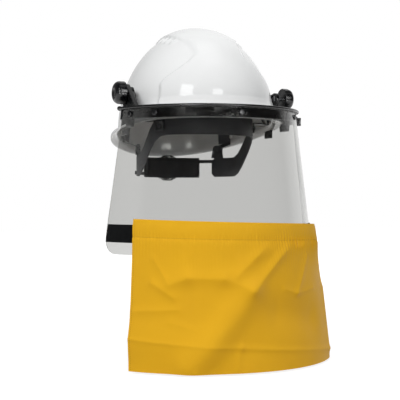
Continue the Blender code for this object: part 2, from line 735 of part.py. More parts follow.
def strap_end(angle, end, far_angle):
    """The foot of a crown strap, just inside its socket and just above the key's arm."""
    middle, low, way = key_station(angle)
    run = (key_station(far_angle)[0] - middle).normalized()
    skew = STRAP_WIDTH / 2 * math.sqrt(1 - run.dot(way) ** 2)
    inwards = SOCKET_DEPTH / 2 + GAP + STRAP_THICKNESS + skew
    path = key_path(angle, end)
    slope = (path[2][1] - path[1][1]) / path[2][0]
    arm = path[1][1] + slope * inwards
    lift = KEY_THICKNESS * math.hypot(1, slope) + GAP + abs(slope) * (skew + STRAP_THICKNESS)
    return middle - way * inwards + Vector((0, 0, arm + lift))


def build_straps():
    """Two webbing straps that cross over the head, each from a front key to the far rear key."""
    for name, side, lift in (("lower", 1, 0.0), ("upper", -1, STRAP_THICKNESS + STRAP_CROSSING_SPACE)):
        front, rear = side * KEY_ANGLES["front"], -side * KEY_ANGLES["rear"]
        first = strap_end(front, "front", rear)
        last = strap_end(rear, "rear", front)
        middle = (first + last) / 2
        half = (last - first) / 2
        level = Vector((half.x, half.y, 0))
        across = Vector((-level.y, level.x, 0)).normalized()
        tilt = half.z / half.y
        rise = DOME_HEIGHT - SHELL_WALL - STRAP_CROWN_SPACE + lift - middle.z

        def place(run, width, depth, middle=middle, level=level, across=across, tilt=tilt, rise=rise):
            turn = QUARTER_TURN * run
            face = level.normalized() * math.sin(turn) / level.length + Vector((0, 0, math.cos(turn) / rise))
            point = middle + level * math.sin(turn) + across * width + face.normalized() * depth
            height = rise * math.cos(turn) + tilt * (point.y - middle.y)
            return point + Vector((0, 0, height))

        half_width = STRAP_WIDTH / 2
        outline = [(-1, -half_width), (1, -half_width), (1, half_width), (-1, half_width)]
        part("crown_strap_" + name, bent([outline], STRAP_THICKNESS, place, STRAP_FACET), "grey_webbing")


def build_headband():
    """The loop round the head, open at the nape, with ears above it for the rear keys."""
    half = BAND_HEIGHT / 2
    end = HEAD_QUARTER + HEAD_STRAIGHT + HEAD_RADIUS * (QUARTER_TURN - BAND_END_ANGLE)
    front_run, front_rise = hanger(KEY_ANGLES["front"], "front")[2:]
    rear_run, rear_rise = hanger(KEY_ANGLES["rear"], "rear")[2:]
    bend = half / 3
    ear = [(EAR_HALF_WIDTH * x, half + EAR_RISE * z) for x, z in ((1, 0), (0.7, 0.85), (0.4, 1))]
    ear += [(-x, z) for x, z in reversed(ear)]
    left_end = [(end - bend, -half), (end, -half + bend), (end, half - bend), (end - bend, half)]
    outline = left_end + [(rear_run + x, z) for x, z in ear] + [(x - rear_run, z) for x, z in ear]
    outline += [(-x, z) for x, z in reversed(left_end)]
    holes = [circle((side * run, rise), RIVET_RADIUS + 2 * GAP, 12) for side in (1, -1)
             for run, rise in ((front_run, front_rise), (rear_run, rear_rise))]
    part("headband", bent([outline] + holes, BAND_THICKNESS, head_place, HEAD_FACET), "grey_nylon")
    inner = -BAND_THICKNESS / 2 - GAP - PAD_THICKNESS / 2
    length = HEAD_RADIUS * BROW_PAD_ANGLE
    pad = rounded_rectangle(-length, length, -half, half, half / 2, half / 2)

    def place(run, height, depth):
        return head_place(run, height, depth + inner)

    part("brow_pad", bent([pad], PAD_THICKNESS, place, HEAD_FACET), "foam")


def nape_place(radius, height=NAPE_HEIGHT):
    """Lays a sheet on the nape arc at a radius, its length measured along the racks."""
    def place(run, rise, depth):
        turn = run / RACK_RADIUS
        reach = radius + depth
        return reach * math.sin(turn), NAPE_Y + reach * math.cos(turn), height + rise
    return place


def involute_turn(radius, base):
    """How far an involute has turned where it reaches a radius."""
    roll = math.sqrt(max((radius / base) ** 2 - 1, 0.0))
    return roll - math.atan(roll)


def pinion_outline():
    """Involute teeth that roll on the racks' straight flanks."""
    base = PITCH_RADIUS * math.cos(PRESSURE_ANGLE)
    tip = PITCH_RADIUS + TOOTH_HEIGHT
    root = PITCH_RADIUS - TOOTH_HEIGHT - TOOTH_ROOT_GAP
    half_tooth = (HALF_TURN * GEAR_MODULE / 2 - TOOTH_BACKLASH) / 2 / PITCH_RADIUS
    at_base = half_tooth + involute_turn(PITCH_RADIUS, base)
    radii = [base + (tip - base) * i / 4 for i in range(5)]
    outline = []
    for tooth in range(PINION_TEETH):
        centre = 2 * HALF_TURN * tooth / PINION_TEETH
        flank = [(root, at_base)] + [(r, at_base - involute_turn(r, base)) for r in radii]
        points = [(r, centre - a) for r, a in flank] + [(r, centre + a) for r, a in reversed(flank)]
        outline += [(r * math.cos(a), r * math.sin(a)) for r, a in points]
    return outline


def rack_outline():
    """The left rack: a toothed stretch that hangs over the pinion and a plain tail."""
    pitch = HALF_TURN * GEAR_MODULE
    root = PITCH_RADIUS + TOOTH_HEIGHT + TOOTH_ROOT_GAP
    tip = PITCH_RADIUS - TOOTH_HEIGHT
    lean = math.tan(PRESSURE_ANGLE)
    half_tooth = (pitch / 2 - TOOTH_BACKLASH) / 2
    teeth = int(RACK_TEETH_HALF / pitch)
    low = []
    for i in range(-teeth, teeth):
        centre = (i + 0.5) * pitch
        wide = half_tooth + (root - PITCH_RADIUS) * lean
        narrow = half_tooth - (PITCH_RADIUS - tip) * lean
        low += [(centre - wide, root), (centre - narrow, tip), (centre + narrow, tip), (centre + wide, root)]
    return [(-RACK_TEETH_HALF - pitch, root)] + low + [(RACK_TAIL, root), (RACK_TAIL, RACK_TOP),
                                                      (-RACK_TEETH_HALF - pitch, RACK_TOP)]


def build_ratchet():
    """The size adjuster: case, cover, racks and the pinion that the knob turns."""
    half = RACK_TOP + GAP
    outer = half + CASE_FLANGE
    low, high = NAPE_HEIGHT - outer, NAPE_HEIGHT + outer
    wall = CASE_INNER + CASE_WALL
    floor, roof = low + CASE_FLANGE, high - CASE_FLANGE
    channel = [(CASE_INNER, low), (CASE_OUTER, low), (CASE_OUTER, floor), (wall, floor),
               (wall, roof), (CASE_OUTER, roof), (CASE_OUTER, high), (CASE_INNER, high)]
    case = swept(channel, NAPE_Y, HALF_TURN - CASE_ANGLE, HALF_TURN + CASE_ANGLE, 14)
    part("ratchet_case", case, "grey_nylon")
    length = CASE_ANGLE * RACK_RADIUS
    lid = rounded_rectangle(-length, length, -outer, outer, CASE_FLANGE, CASE_FLANGE, 3)
    bore = circle((0, 0), HUB_RADIUS + GAP, 16)
    cover = bent([lid, bore], COVER_THICKNESS, nape_place(COVER_RADIUS), FINE_FACET)
    part("ratchet_cover", cover, "black_nylon")
    pad_radius = CASE_INNER - GAP - PAD_THICKNESS / 2
    pad = rounded_rectangle(-length, length, -outer, outer, outer / 2, outer / 2)
    part("nape_pad", bent([pad], PAD_THICKNESS, nape_place(pad_radius), HEAD_FACET), "foam")

    arc_centre = pivot("nape_arc_centre", (0, NAPE_Y, NAPE_HEIGHT))
    for name, side in (("left", 1), ("right", -1)):
        outline = [(side * run, side * rise) for run, rise in rack_outline()]
        rack = bent([outline], RACK_THICKNESS, nape_place(RACK_RADIUS), FINE_FACET)
        part("rack_" + name, rack, "grey_nylon", arc_centre)

    axis = pivot("ratchet_axis", (0, RATCHET_KNOB_Y, NAPE_HEIGHT))
    way = Vector((0, 1, 0))
    back = NAPE_Y + RACK_RADIUS - RACK_THICKNESS / 2
    front = NAPE_Y + CASE_OUTER - GAP

    def place(x, z, depth):
        return x, (back + front) / 2 + depth, NAPE_HEIGHT + z

    gear = part("ratchet_pinion", bent([pinion_outline()], front - back, place, 1.0), "grey_nylon", axis)
    hub = bmesh.new()
    hub_end = RATCHET_KNOB_Y + RATCHET_KNOB_HEIGHT * 0.6
    add_rod(hub, (0, (back + front) / 2, NAPE_HEIGHT), (0, hub_end, NAPE_HEIGHT), HUB_RADIUS, 6)
    combine(gear, cutter("pinion_hub", hub), "UNION")
    sections = [(0, 0.94), (0.001, 1.0), (RATCHET_KNOB_HEIGHT - 0.003, 1.0), (RATCHET_KNOB_HEIGHT, 0.86)]
    grip = stacked(lobed(RATCHET_KNOB_RADIUS, RATCHET_KNOB_RADIUS * 0.08, RATCHET_KNOB_LOBES), sections)
    knob = part("ratchet_knob", laid_along(grip, axis.location, way), "black_nylon", axis)
    socket = bmesh.new()
    add_rod(socket, (0, 0, NAPE_HEIGHT), (0, hub_end + GAP, NAPE_HEIGHT), HUB_RADIUS + 2 * GAP, 6)
    combine(knob, cutter("ratchet_socket", socket), "DIFFERENCE")


def carrier_point(angle, radius, height):
    return Vector((radius * math.sin(angle), CARRIER_Y - radius * math.cos(angle), height))


def visor_radius(height):
    """The middle of the visor's sheet, which opens out towards its lower edge."""
    return VISOR_TOP_RADIUS + VISOR_SLOPE * (VISOR_TOP - height)


def widened(outline):
    """The same outline with its ends spread towards the visor's lower edge, as the visor is cut."""
    return [(x * (1 + VISOR_WIDENING * (VISOR_TOP - z) / VISOR_HEIGHT), z) for x, z in outline]


def visor_place(offset):
    """Lays a sheet on the visor's cone, a little outside the visor."""
    def place(run, height, depth):
        turn = run / VISOR_TOP_RADIUS
        return carrier_point(turn, visor_radius(height) + offset + depth, height)
    return place


def build_carrier(axis):
    """The band that carries the visor, with its lip, ledge, arms, tabs and holes."""
    low_face = BAND_FACE + VISOR_SLOPE * (VISOR_TOP - CARRIER_BOTTOM)
    lip_low = CARRIER_TOP - CARRIER_LIP
    rim = BAND_FACE + LIP_OVERHANG
    inner = BRACKET_FACE + (ARM_INNER - BRACKET_FACE) * 2
    section = [(inner, CARRIER_TOP - LEDGE_THICKNESS), (CARRIER_RADIUS, CARRIER_TOP - LEDGE_THICKNESS),
               (low_face - BAND_WALL, CARRIER_BOTTOM), (low_face, CARRIER_BOTTOM), (BAND_FACE, lip_low),
               (rim - LIP_ROUND, lip_low), (rim, lip_low + LIP_ROUND), (rim, CARRIER_TOP - LIP_ROUND),
               (rim - LIP_ROUND, CARRIER_TOP), (inner, CARRIER_TOP)]
    ring = swept(section, CARRIER_Y, -CARRIER_ANGLE, CARRIER_ANGLE, 36)
    band = part("carrier_band", ring, "black_nylon", axis)

    ledge_inner = DOME_HALF_LENGTH + PANEL_RISE + CARRIER_Y + LEDGE_SPACE
    inset = LEDGE_THICKNESS / 4
    ledge_low, ledge_high = CARRIER_TOP - LEDGE_THICKNESS + inset, CARRIER_TOP - inset
    ledge_outer = CARRIER_RADIUS + inset
    ledge = [(ledge_inner, ledge_low), (ledge_outer, ledge_low)]
    ledge += [(ledge_outer, ledge_high), (ledge_inner, ledge_high)]
    combine(band, cutter("carrier_ledge", swept(ledge, CARRIER_Y, -LEDGE_ANGLE, LEDGE_ANGLE, 28)), "UNION")

    base = CARRIER_TOP - LEDGE_THICKNESS / 2
    arm = circle((HINGE_Y, HINGE_HEIGHT), ARM_BOSS_RADIUS, 20)
    arm += [(CARRIER_Y - reach, base) for reach in ARM_FOOT]
    tab = [(CARRIER_Y - reach, base) for reach in TAB_TOP]
    tab += [(CARRIER_Y - reach, TAB_TIP_HEIGHT) for reach in TAB_TIP]
    for name, mirror in (("left", False), ("right", True)):
        bulb = bmesh.new()
        end = carrier_point(CARRIER_ANGLE, rim - LIP_END_RADIUS, CARRIER_TOP - CARRIER_LIP / 2)
        place = Matrix.Translation(end)
        bmesh.ops.create_uvsphere(bulb, u_segments=8, v_segments=5, radius=LIP_END_RADIUS, matrix=place)
        bore = bmesh.new()
        add_rod(bore, (0, HINGE_Y, HINGE_HEIGHT), (2 * ARM_OUTER, HINGE_Y, HINGE_HEIGHT), BOLT_RADIUS + GAP)
        shapes = [("arm", side_plate(arm, ARM_INNER, ARM_OUTER), "UNION"),
                  ("tab", side_plate(tab, ARM_INNER + inset, ARM_OUTER - inset), "UNION"),
                  ("lip_end", bulb, "UNION"), ("arm_bore", bore, "DIFFERENCE")]
        for label, bm, operation in shapes:
            solid = cutter(label + "_" + name, mirrored(bm) if mirror else bm)
            combine(band, solid, operation)

    holes = bmesh.new()
    for angle in STUD_ANGLES:
        add_rod(holes, carrier_point(angle, CARRIER_RADIUS - BAND_WALL, STUD_HEIGHT),
                carrier_point(angle, BAND_FACE + BAND_WALL, STUD_HEIGHT), STUD_RADIUS + GAP, 12)
    combine(band, cutter("stud_holes", holes), "DIFFERENCE")
    pockets = bmesh.new()
    inner_stud = STUD_ANGLES[-2] + STUD_POCKET[0] / 5 / BAND_FACE
    for angle, size in ((inner_stud, STUD_POCKET), (SLOT_ANGLE, SLOT_POCKET)):
        for side in (1, -1):
            way = carrier_point(side * angle, 1, 0) - Vector((0, CARRIER_Y, 0))
            centre = carrier_point(side * angle, BAND_FACE, STUD_HEIGHT)
            add_box(pockets, centre, (2 * POCKET_DEPTH, *size), way)
    combine(band, cutter("band_pockets", pockets), "DIFFERENCE")


def build_visor(axis):
    """The bent clear sheet, its studs and the hook tape across it."""
    half = VISOR_ANGLE * VISOR_TOP_RADIUS
    low = VISOR_TOP - VISOR_HEIGHT
    outline = rounded_rectangle(-half, half, low, VISOR_TOP, VISOR_LOW_CORNER, VISOR_TOP_CORNER)
    hole = STUD_RADIUS + 2 * GAP
    holes = [circle((angle * VISOR_TOP_RADIUS, STUD_HEIGHT), hole, 12) for angle in STUD_ANGLES]
    sheet = bent([widened(outline)] + holes, VISOR_THICKNESS, visor_place(0), SHEET_FACET)
    part("visor", sheet, "clear_sheet", axis)

    names = ("outer_right", "inner_right", "centre", "inner_left", "outer_left")
    face = visor_radius(STUD_HEIGHT) + VISOR_THICKNESS / 2 + 2 * GAP
    collar = visor_radius(STUD_HEIGHT) - VISOR_THICKNESS / 2 - 3 * GAP - BAND_WALL - face
    tip = collar - STUD_COLLAR_HEIGHT
    profile = [(0, STUD_HEAD_HEIGHT), (STUD_HEAD_RADIUS * 0.6, STUD_HEAD_HEIGHT * 0.9),
               (STUD_HEAD_RADIUS, STUD_HEAD_HEIGHT * 0.3), (STUD_HEAD_RADIUS, 0), (STUD_RADIUS, 0),
               (STUD_RADIUS, collar), (STUD_RADIUS * 1.6, collar), (STUD_RADIUS * 1.2, tip), (0, tip)]
    for name, angle in zip(names, STUD_ANGLES):
        way = carrier_point(angle, 1, 0) - Vector((0, CARRIER_Y, 0))
        place = carrier_point(angle, face, STUD_HEIGHT)
        turned("visor_stud_" + name, profile, place, way, "black_nylon", axis, 10)

    tape_face = VISOR_THICKNESS / 2 + GAP + TAPE_THICKNESS / 2
    end = half - TAPE_INSET
    strip = rounded_rectangle(-end, end, TAPE_BOTTOM, TAPE_BOTTOM + TAPE_WIDTH, GAP, GAP, 1)
    tape = bent([widened(strip)], TAPE_THICKNESS, visor_place(tape_face), SHEET_FACET)
    part("hook_tape", tape, "black_tape", axis)
    return tape_face + TAPE_THICKNESS / 2


def build_clip(axis):
    """A square hollow clip outside the visor, near the left end of the band."""
    height = STUD_HEIGHT - CLIP_SIZE.z / 4
    reach = visor_radius(height - CLIP_SIZE.z / 2) + VISOR_THICKNESS / 2 + GAP
    way = carrier_point(CLIP_ANGLE, 1, 0) - Vector((0, CARRIER_Y, 0))
    centre = carrier_point(CLIP_ANGLE, reach + CLIP_SIZE.x / 2, height)
    body = bmesh.new()
    add_box(body, centre, CLIP_SIZE, way)
    clip = part("end_clip", body, "black_nylon", axis)
    edge = clip.modifiers.new("edge", "BEVEL")
    edge.width = CLIP_SIZE.x / 8
    edge.segments = 2
    hollow = bmesh.new()
    add_box(hollow, centre + way * CLIP_SIZE.x / 2, CLIP_SIZE * CLIP_HOLLOW, way)
    combine(clip, cutter("clip_hollow", hollow), "DIFFERENCE")


def build_bib(axis, tape_outer):
    """The bib's layers, from the loop tape on the visor's tape out to the hanging cloth."""
    first, last, hem_first = (angle * VISOR_TOP_RADIUS
                              for angle in (BIB_RIGHT_ANGLE, BIB_LEFT_ANGLE, BIB_HEM_RIGHT_ANGLE))
    crown = (BIB_TOP, BIB_TOP - BIB_TOP_SLOPE)
    hem = BIB_TOP - BIB_LENGTH

    def layer(name, low, high, thickness, inner, paint, low_first=first):
        ends = [(low_first, low[0]), (last, low[1]), (last, high[1]), (first, high[0])]
        sheet = bent([ends], thickness, visor_place(inner + thickness / 2), SHEET_FACET)
        part(name, sheet, paint, axis)
        return inner + thickness + GAP

    tape = (TAPE_BOTTOM, TAPE_BOTTOM)
    tape_high = (TAPE_BOTTOM + TAPE_WIDTH, min(TAPE_BOTTOM + TAPE_WIDTH, crown[1]))
    edge = layer("loop_tape", tape, tape_high, TAPE_THICKNESS, tape_outer + GAP, "black_tape")
    edge = layer("casing_flap", [z - FLAP_WIDTH for z in crown], crown, FLAP_THICKNESS, edge, "yellow_cloth")
    elastic = [z - (FLAP_WIDTH - ELASTIC_WIDTH) / 2 for z in crown]
    edge = layer("bib_elastic", [z - ELASTIC_WIDTH for z in elastic], elastic, ELASTIC_THICKNESS, edge,
                 "white_elastic")
    layer("bib_panel", (hem, hem), crown, BIB_THICKNESS, edge, "yellow_cloth", hem_first)


CLEARANCE_SOLID = cutter("shell_clearance", shell_clearance())
SHIELD_AXIS = pivot("shield_axis", (0, HINGE_Y, HINGE_HEIGHT))
build_shell()
build_brackets(CLEARANCE_SOLID)
build_pivots()
build_keys()
build_straps()
build_headband()
build_ratchet()
build_carrier(SHIELD_AXIS)
TAPE_OUTER = build_visor(SHIELD_AXIS)
build_clip(SHIELD_AXIS)
build_bib(SHIELD_AXIS, TAPE_OUTER)
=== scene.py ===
"""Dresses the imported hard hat: shell, suspension, lifting face shield and bib.

Metres, +Z up. The wearer faces -Y, and +X is the wearer's left.
"""
import json
import math

import bpy
from mathutils import Matrix, Vector

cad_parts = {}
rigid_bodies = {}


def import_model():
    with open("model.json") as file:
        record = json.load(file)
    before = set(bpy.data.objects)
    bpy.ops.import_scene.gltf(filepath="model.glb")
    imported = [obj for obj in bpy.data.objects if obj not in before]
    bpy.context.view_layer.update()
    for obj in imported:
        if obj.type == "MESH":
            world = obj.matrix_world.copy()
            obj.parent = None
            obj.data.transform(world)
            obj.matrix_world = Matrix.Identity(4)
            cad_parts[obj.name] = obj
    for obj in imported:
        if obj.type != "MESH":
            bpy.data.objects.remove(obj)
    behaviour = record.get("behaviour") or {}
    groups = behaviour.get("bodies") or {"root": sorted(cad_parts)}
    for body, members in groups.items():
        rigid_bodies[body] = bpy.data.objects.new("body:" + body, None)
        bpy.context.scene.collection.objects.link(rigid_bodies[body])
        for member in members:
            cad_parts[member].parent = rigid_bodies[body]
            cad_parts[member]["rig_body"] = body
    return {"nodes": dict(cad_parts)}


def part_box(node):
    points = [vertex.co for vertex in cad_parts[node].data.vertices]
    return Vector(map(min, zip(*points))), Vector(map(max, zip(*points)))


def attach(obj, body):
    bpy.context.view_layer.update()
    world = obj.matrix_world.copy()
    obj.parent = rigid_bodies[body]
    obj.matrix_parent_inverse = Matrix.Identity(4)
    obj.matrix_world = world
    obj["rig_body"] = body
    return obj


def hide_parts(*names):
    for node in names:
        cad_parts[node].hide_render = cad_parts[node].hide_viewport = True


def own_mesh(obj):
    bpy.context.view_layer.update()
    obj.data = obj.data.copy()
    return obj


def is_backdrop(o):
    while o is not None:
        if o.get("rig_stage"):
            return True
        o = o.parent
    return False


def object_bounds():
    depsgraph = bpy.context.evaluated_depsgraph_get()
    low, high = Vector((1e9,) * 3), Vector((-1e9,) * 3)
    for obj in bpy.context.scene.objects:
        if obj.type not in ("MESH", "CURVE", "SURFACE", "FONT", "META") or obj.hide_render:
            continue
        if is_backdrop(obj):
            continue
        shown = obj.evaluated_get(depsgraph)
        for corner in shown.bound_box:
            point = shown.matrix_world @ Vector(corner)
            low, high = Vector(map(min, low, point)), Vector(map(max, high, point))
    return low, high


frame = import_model()
cad_low, cad_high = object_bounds()
bpy.ops.object.select_all(action="DESELECT")

# The studio: a level camera with a long lens, 23 degrees round towards the wearer's right,
# two soft boxes in front, a bank overhead, and a white floor under the hat.
scene = bpy.context.scene
scene.view_settings.view_transform = "Standard"


def linear(code):
    """An sRGB hex colour as linear red, green, blue and alpha."""
    shares = [int(code[i:i + 2], 16) / 255 for i in (0, 2, 4)]
    return [c / 12.92 if c <= 0.04045 else ((c + 0.055) / 1.055) ** 2.4 for c in shares] + [1.0]


def add_node(tree, kind, sockets, **settings):
    """Adds a shader node, sets its fields, and fills its sockets with values or links."""
    made = tree.nodes.new("ShaderNode" + kind)
    for field, value in settings.items():
        setattr(made, field, value)
    for socket, value in sockets.items():
        if isinstance(value, bpy.types.NodeSocket):
            tree.links.new(value, made.inputs[socket])
        else:
            made.inputs[socket].default_value = value
    return made


def new_material(name):
    """An empty node material and its tree."""
    material = bpy.data.materials.new(name)
    material.use_nodes = True
    material.node_tree.nodes.clear()
    return material, material.node_tree


def ranged(tree, value, least, most, low=0.0, high=1.0):
    """A value stretched between two levels, from the part of it that lies between low and high."""
    return add_node(tree, "MapRange", {"Value": value, "From Min": low, "From Max": high,
                                       "To Min": least, "To Max": most}).outputs[0]


def worked(tree, operation, *values):
    """One step of arithmetic on one to three values, done in the shader."""
    return add_node(tree, "Math", dict(enumerate(values)), operation=operation).outputs[0]


aim = Vector((0.0086, -0.0036, -0.116))
stand = math.radians(-23)
camera_away = 1.6
lens = bpy.data.cameras.new("long_lens")
lens.lens = 94.5
lens.sensor_width = 36.0
camera = bpy.data.objects.new("camera", lens)
camera.location = aim + camera_away * Vector((math.sin(stand), -math.cos(stand), 0))
camera.rotation_euler = (aim - camera.location).to_track_quat("-Z", "Y").to_euler()
scene.collection.objects.link(camera)
scene.camera = camera

for name, turn, lift, away, width, height, watts in (
        ("left_soft_box", -50, 24, 1.9, 0.72, 0.62, 12.5),
        ("front_soft_box", 1, 24, 1.9, 0.72, 0.50, 4.8),
        ("overhead_bank", 24, 76, 1.3, 1.10, 0.95, 3.0)):
    lamp = bpy.data.lights.new(name, "AREA")
    lamp.shape = "RECTANGLE"
    lamp.size = width
    lamp.size_y = height
    lamp.energy = watts
    box = bpy.data.objects.new(name, lamp)
    turn, lift = math.radians(turn), math.radians(lift)
    way = Vector((math.sin(turn) * math.cos(lift), -math.cos(turn) * math.cos(lift), math.sin(lift)))
    box.location = way * away
    box.rotation_euler = way.to_track_quat("Z", "Y").to_euler()
    box.visible_glossy = False
    box.visible_transmission = False
    scene.collection.objects.link(box)

# The room: white to the camera and through the visor, and an even fill for matt surfaces. Mirrored, it is a
# dark studio with a pale wall behind, two windows, a ceiling patch and two low strip lights, each by its
# strength, its soft edge, and the middle and half width of its spans (radians, or a direction's X and Y).
room = bpy.data.worlds.new("white_room")
room_fill = 0.57
scene.world = room
room.use_nodes = True
tree = room.node_tree
tree.nodes.clear()
rays = add_node(tree, "LightPath", {})
facing = add_node(tree, "SeparateXYZ", {0: add_node(tree, "TexCoord", {}).outputs["Generated"]})
through = add_node(tree, "MapRange", {"Value": facing.outputs["Y"], "From Min": -0.1, "From Max": 0.1,
                                      "To Max": rays.outputs["Is Transmission Ray"]})
sees_white = worked(tree, "MAXIMUM", rays.outputs["Is Camera Ray"], through.outputs[0])
mirrors = worked(tree, "MAXIMUM", rays.outputs["Is Glossy Ray"], rays.outputs["Is Transmission Ray"])
right_wall = ranged(tree, facing.outputs["X"], 0.14, 1.0, -0.30, 0.50)
behind = add_node(tree, "MapRange", {"Value": facing.outputs["Y"], "From Min": -0.20, "From Max": 0.60,
                                     "To Min": 0.04, "To Max": right_wall},
                  interpolation_type="SMOOTHSTEP")
forward = worked(tree, "MULTIPLY", facing.outputs["Y"], -1.0)
around = worked(tree, "ARCTAN2", facing.outputs["X"], forward)
upward = worked(tree, "ARCSINE", facing.outputs["Z"])
glint = behind.outputs[0]
for strength, soft, spans in (
        (4.4, 0.02, ((around, -0.92, 0.18), (upward, 0.49, 0.160))),
        (4.4, 0.02, ((around, 0.03, 0.16), (upward, 0.455, 0.125))),
        (0.6, 0.10, ((facing.outputs["X"], 0.10, 0.24), (facing.outputs["Y"], -0.09, 0.30))),
        (16.0, 0.06, ((around, -0.60, 0.16), (upward, 0.03, 0.09))),
        (16.0, 0.06, ((around, 0.24, 0.17), (upward, 0.03, 0.09)))):
    for reads, middle, reach in spans:
        off = worked(tree, "SUBTRACT", reads, middle)
        off = worked(tree, "ABSOLUTE", off)
        strength = add_node(tree, "MapRange", {"Value": off, "From Min": reach - soft,
                                               "From Max": reach + soft, "To Min": strength, "To Max": 0.0},
                            interpolation_type="SMOOTHSTEP").outputs[0]
    glint = worked(tree, "ADD", strength, glint)
mirrored_room = add_node(tree, "Mix", {0: mirrors, 2: room_fill, 3: glint})
level = add_node(tree, "Mix", {0: sees_white, 2: mirrored_room.outputs[0], 3: 1.0})
light = add_node(tree, "Background", {"Color": linear("FFFFFF"), "Strength": level.outputs[0]})
add_node(tree, "OutputWorld", {"Surface": light.outputs[0]})

bpy.ops.mesh.primitive_plane_add(size=12, location=(0, 0, cad_low.z - 0.003))
sweep = bpy.context.object
sweep.name = "studio_floor"
paper, tree = new_material("white sweep paper")
rays = add_node(tree, "LightPath", {})
shown = worked(tree, "MAXIMUM", rays.outputs["Is Camera Ray"], rays.outputs["Is Glossy Ray"])
shown = worked(tree, "MAXIMUM", shown, rays.outputs["Is Transmission Ray"])
away = add_node(tree, "VectorMath", {0: add_node(tree, "TexCoord", {}).outputs["Object"]}, operation="LENGTH")
far = add_node(tree, "MapRange", {"Value": away.outputs["Value"], "From Min": 0.25, "From Max": 1.5,
                                  "To Min": 0.80, "To Max": 1.0}, interpolation_type="SMOOTHSTEP")
glow = worked(tree, "MULTIPLY", shown, far.outputs[0])
matt = add_node(tree, "BsdfDiffuse", {"Color": linear("A0A0A0")})
bright = add_node(tree, "Emission", {"Color": linear("FFFFFF"), "Strength": glow})
both = add_node(tree, "AddShader", {0: matt.outputs[0], 1: bright.outputs[0]})
add_node(tree, "OutputMaterial", {"Surface": both.outputs[0]})
sweep.data.materials.append(paper)
sweep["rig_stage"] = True

# Shell: the cap of the hat, injection moulded in white polyethylene with a wall of 2.6 mm.
# A crown panel runs back over the top and widens into the brow through an S-shaped edge.
# The brim turns out all round, and a short bill stands out in front.
SHELL_WALL = 0.0026
BRIM_FALL = 0.007
DOME = Vector((0.113, 0.136, 0.1405))
PANEL_WAIST_HALF = 0.039
PANEL_BROW_HALF = 0.085
PANEL_RISE = 0.0035
RIB_PLACES = (-0.048, -0.034, -0.020, -0.006)
RIB_HALF = 0.0026
RIB_RISE = 0.0020


def eased(low, high, value):
    """Rises smoothly from 0 to 1 between two values."""
    share = min(max((value - low) / (high - low), 0.0), 1.0)
    return share * share * (3 - 2 * share)


def rim_height(turn):
    """The rim's height, which falls towards the rear."""
    return -0.042 * ((1 - math.cos(turn)) / 2) ** 2


def panel_rise(point):
    """How far the crown and brow panel stands proud, with a scoop at its waist and ribs beside it."""
    half = PANEL_WAIST_HALF + 0.010 * eased(-0.085, -0.030, point.y)
    runout, scoop, flare = eased(0.012, 0.032, point.z), 0.0, 0.0
    if point.y < 0:
        half += (PANEL_BROW_HALF - half) * eased(0.096, 0.044, point.z)
        half += 0.0025 * eased(0.044, 0.020, point.z)
        runout = 1.0
        scoop = eased(0.078, 0.092, point.z) * eased(-0.050, -0.068, point.y)
        flare = eased(-0.050, -0.080, point.y)
    inside = half - abs(point.x)
    rise = PANEL_RISE * eased(-0.0013 - 0.0022 * scoop, 0.0013 + 0.0060 * scoop, inside)
    ribs = 0.0
    for place in RIB_PLACES:
        ribs += math.exp(-((point.y - place) / RIB_HALF) ** 2)
    beside = eased(-0.013, -0.009, inside) * eased(0.0, -0.002, inside)
    bead = 0.0008 * eased(0.0285, 0.0270, point.z) + 0.0032 * eased(0.0260, 0.0150, point.z)
    bead *= eased(0.0080, 0.0125, point.z)
    return (rise + RIB_RISE * ribs * beside) * runout + bead * flare


def dome_at(turn, polar):
    """The dome's outer face, by the angle from the front and the angle from the top."""
    base = rim_height(turn) + BRIM_FALL
    reach = math.sin(polar)
    point = Vector((DOME.x * reach * math.sin(turn), -DOME.y * reach * math.cos(turn),
                    base + (DOME.z - base) * math.cos(polar)))
    slope = Vector((point.x / DOME.x ** 2, point.y / DOME.y ** 2, point.z / DOME.z ** 2))
    return point + slope.normalized() * panel_rise(point)


def straight_out(turn):
    """The level direction straight out of the wall."""
    return Vector((math.sin(turn) / DOME.x, -math.cos(turn) / DOME.y, 0)).normalized()


def brim_at(turn, share):
    """The brim, from the wall to its edge."""
    reach = 0.011 + 0.011 * max(math.cos(turn), 0.0) ** 2
    bend = share * math.pi / 2
    return (dome_at(turn, math.pi / 2) + straight_out(turn) * reach * (1 - math.cos(bend))
            - Vector((0, 0, BRIM_FALL * math.sin(bend))))


def finish_piece(piece, modifiers):
    """Applies a list of modifiers, each a kind with its settings."""
    bpy.context.view_layer.objects.active = piece
    for kind, settings in modifiers:
        made = piece.modifiers.new(kind.lower(), kind)
        for field, value in settings.items():
            setattr(made, field, value)
        bpy.ops.object.modifier_apply(modifier=made.name)


def edit_points(piece, test):
    """Goes into edit mode with only the points that pass a test selected."""
    bpy.ops.object.select_all(action="DESELECT")
    bpy.context.view_layer.objects.active = piece
    piece.select_set(True)
    bpy.ops.object.mode_set(mode="EDIT")
    bpy.ops.mesh.select_mode(type="VERT")
    bpy.ops.mesh.select_all(action="DESELECT")
    bpy.ops.object.mode_set(mode="OBJECT")
    for point in piece.data.vertices:
        point.select = test(point.co)
    bpy.ops.object.mode_set(mode="EDIT")


def end_edit():
    """Goes back to object mode."""
    bpy.ops.object.mode_set(mode="OBJECT")


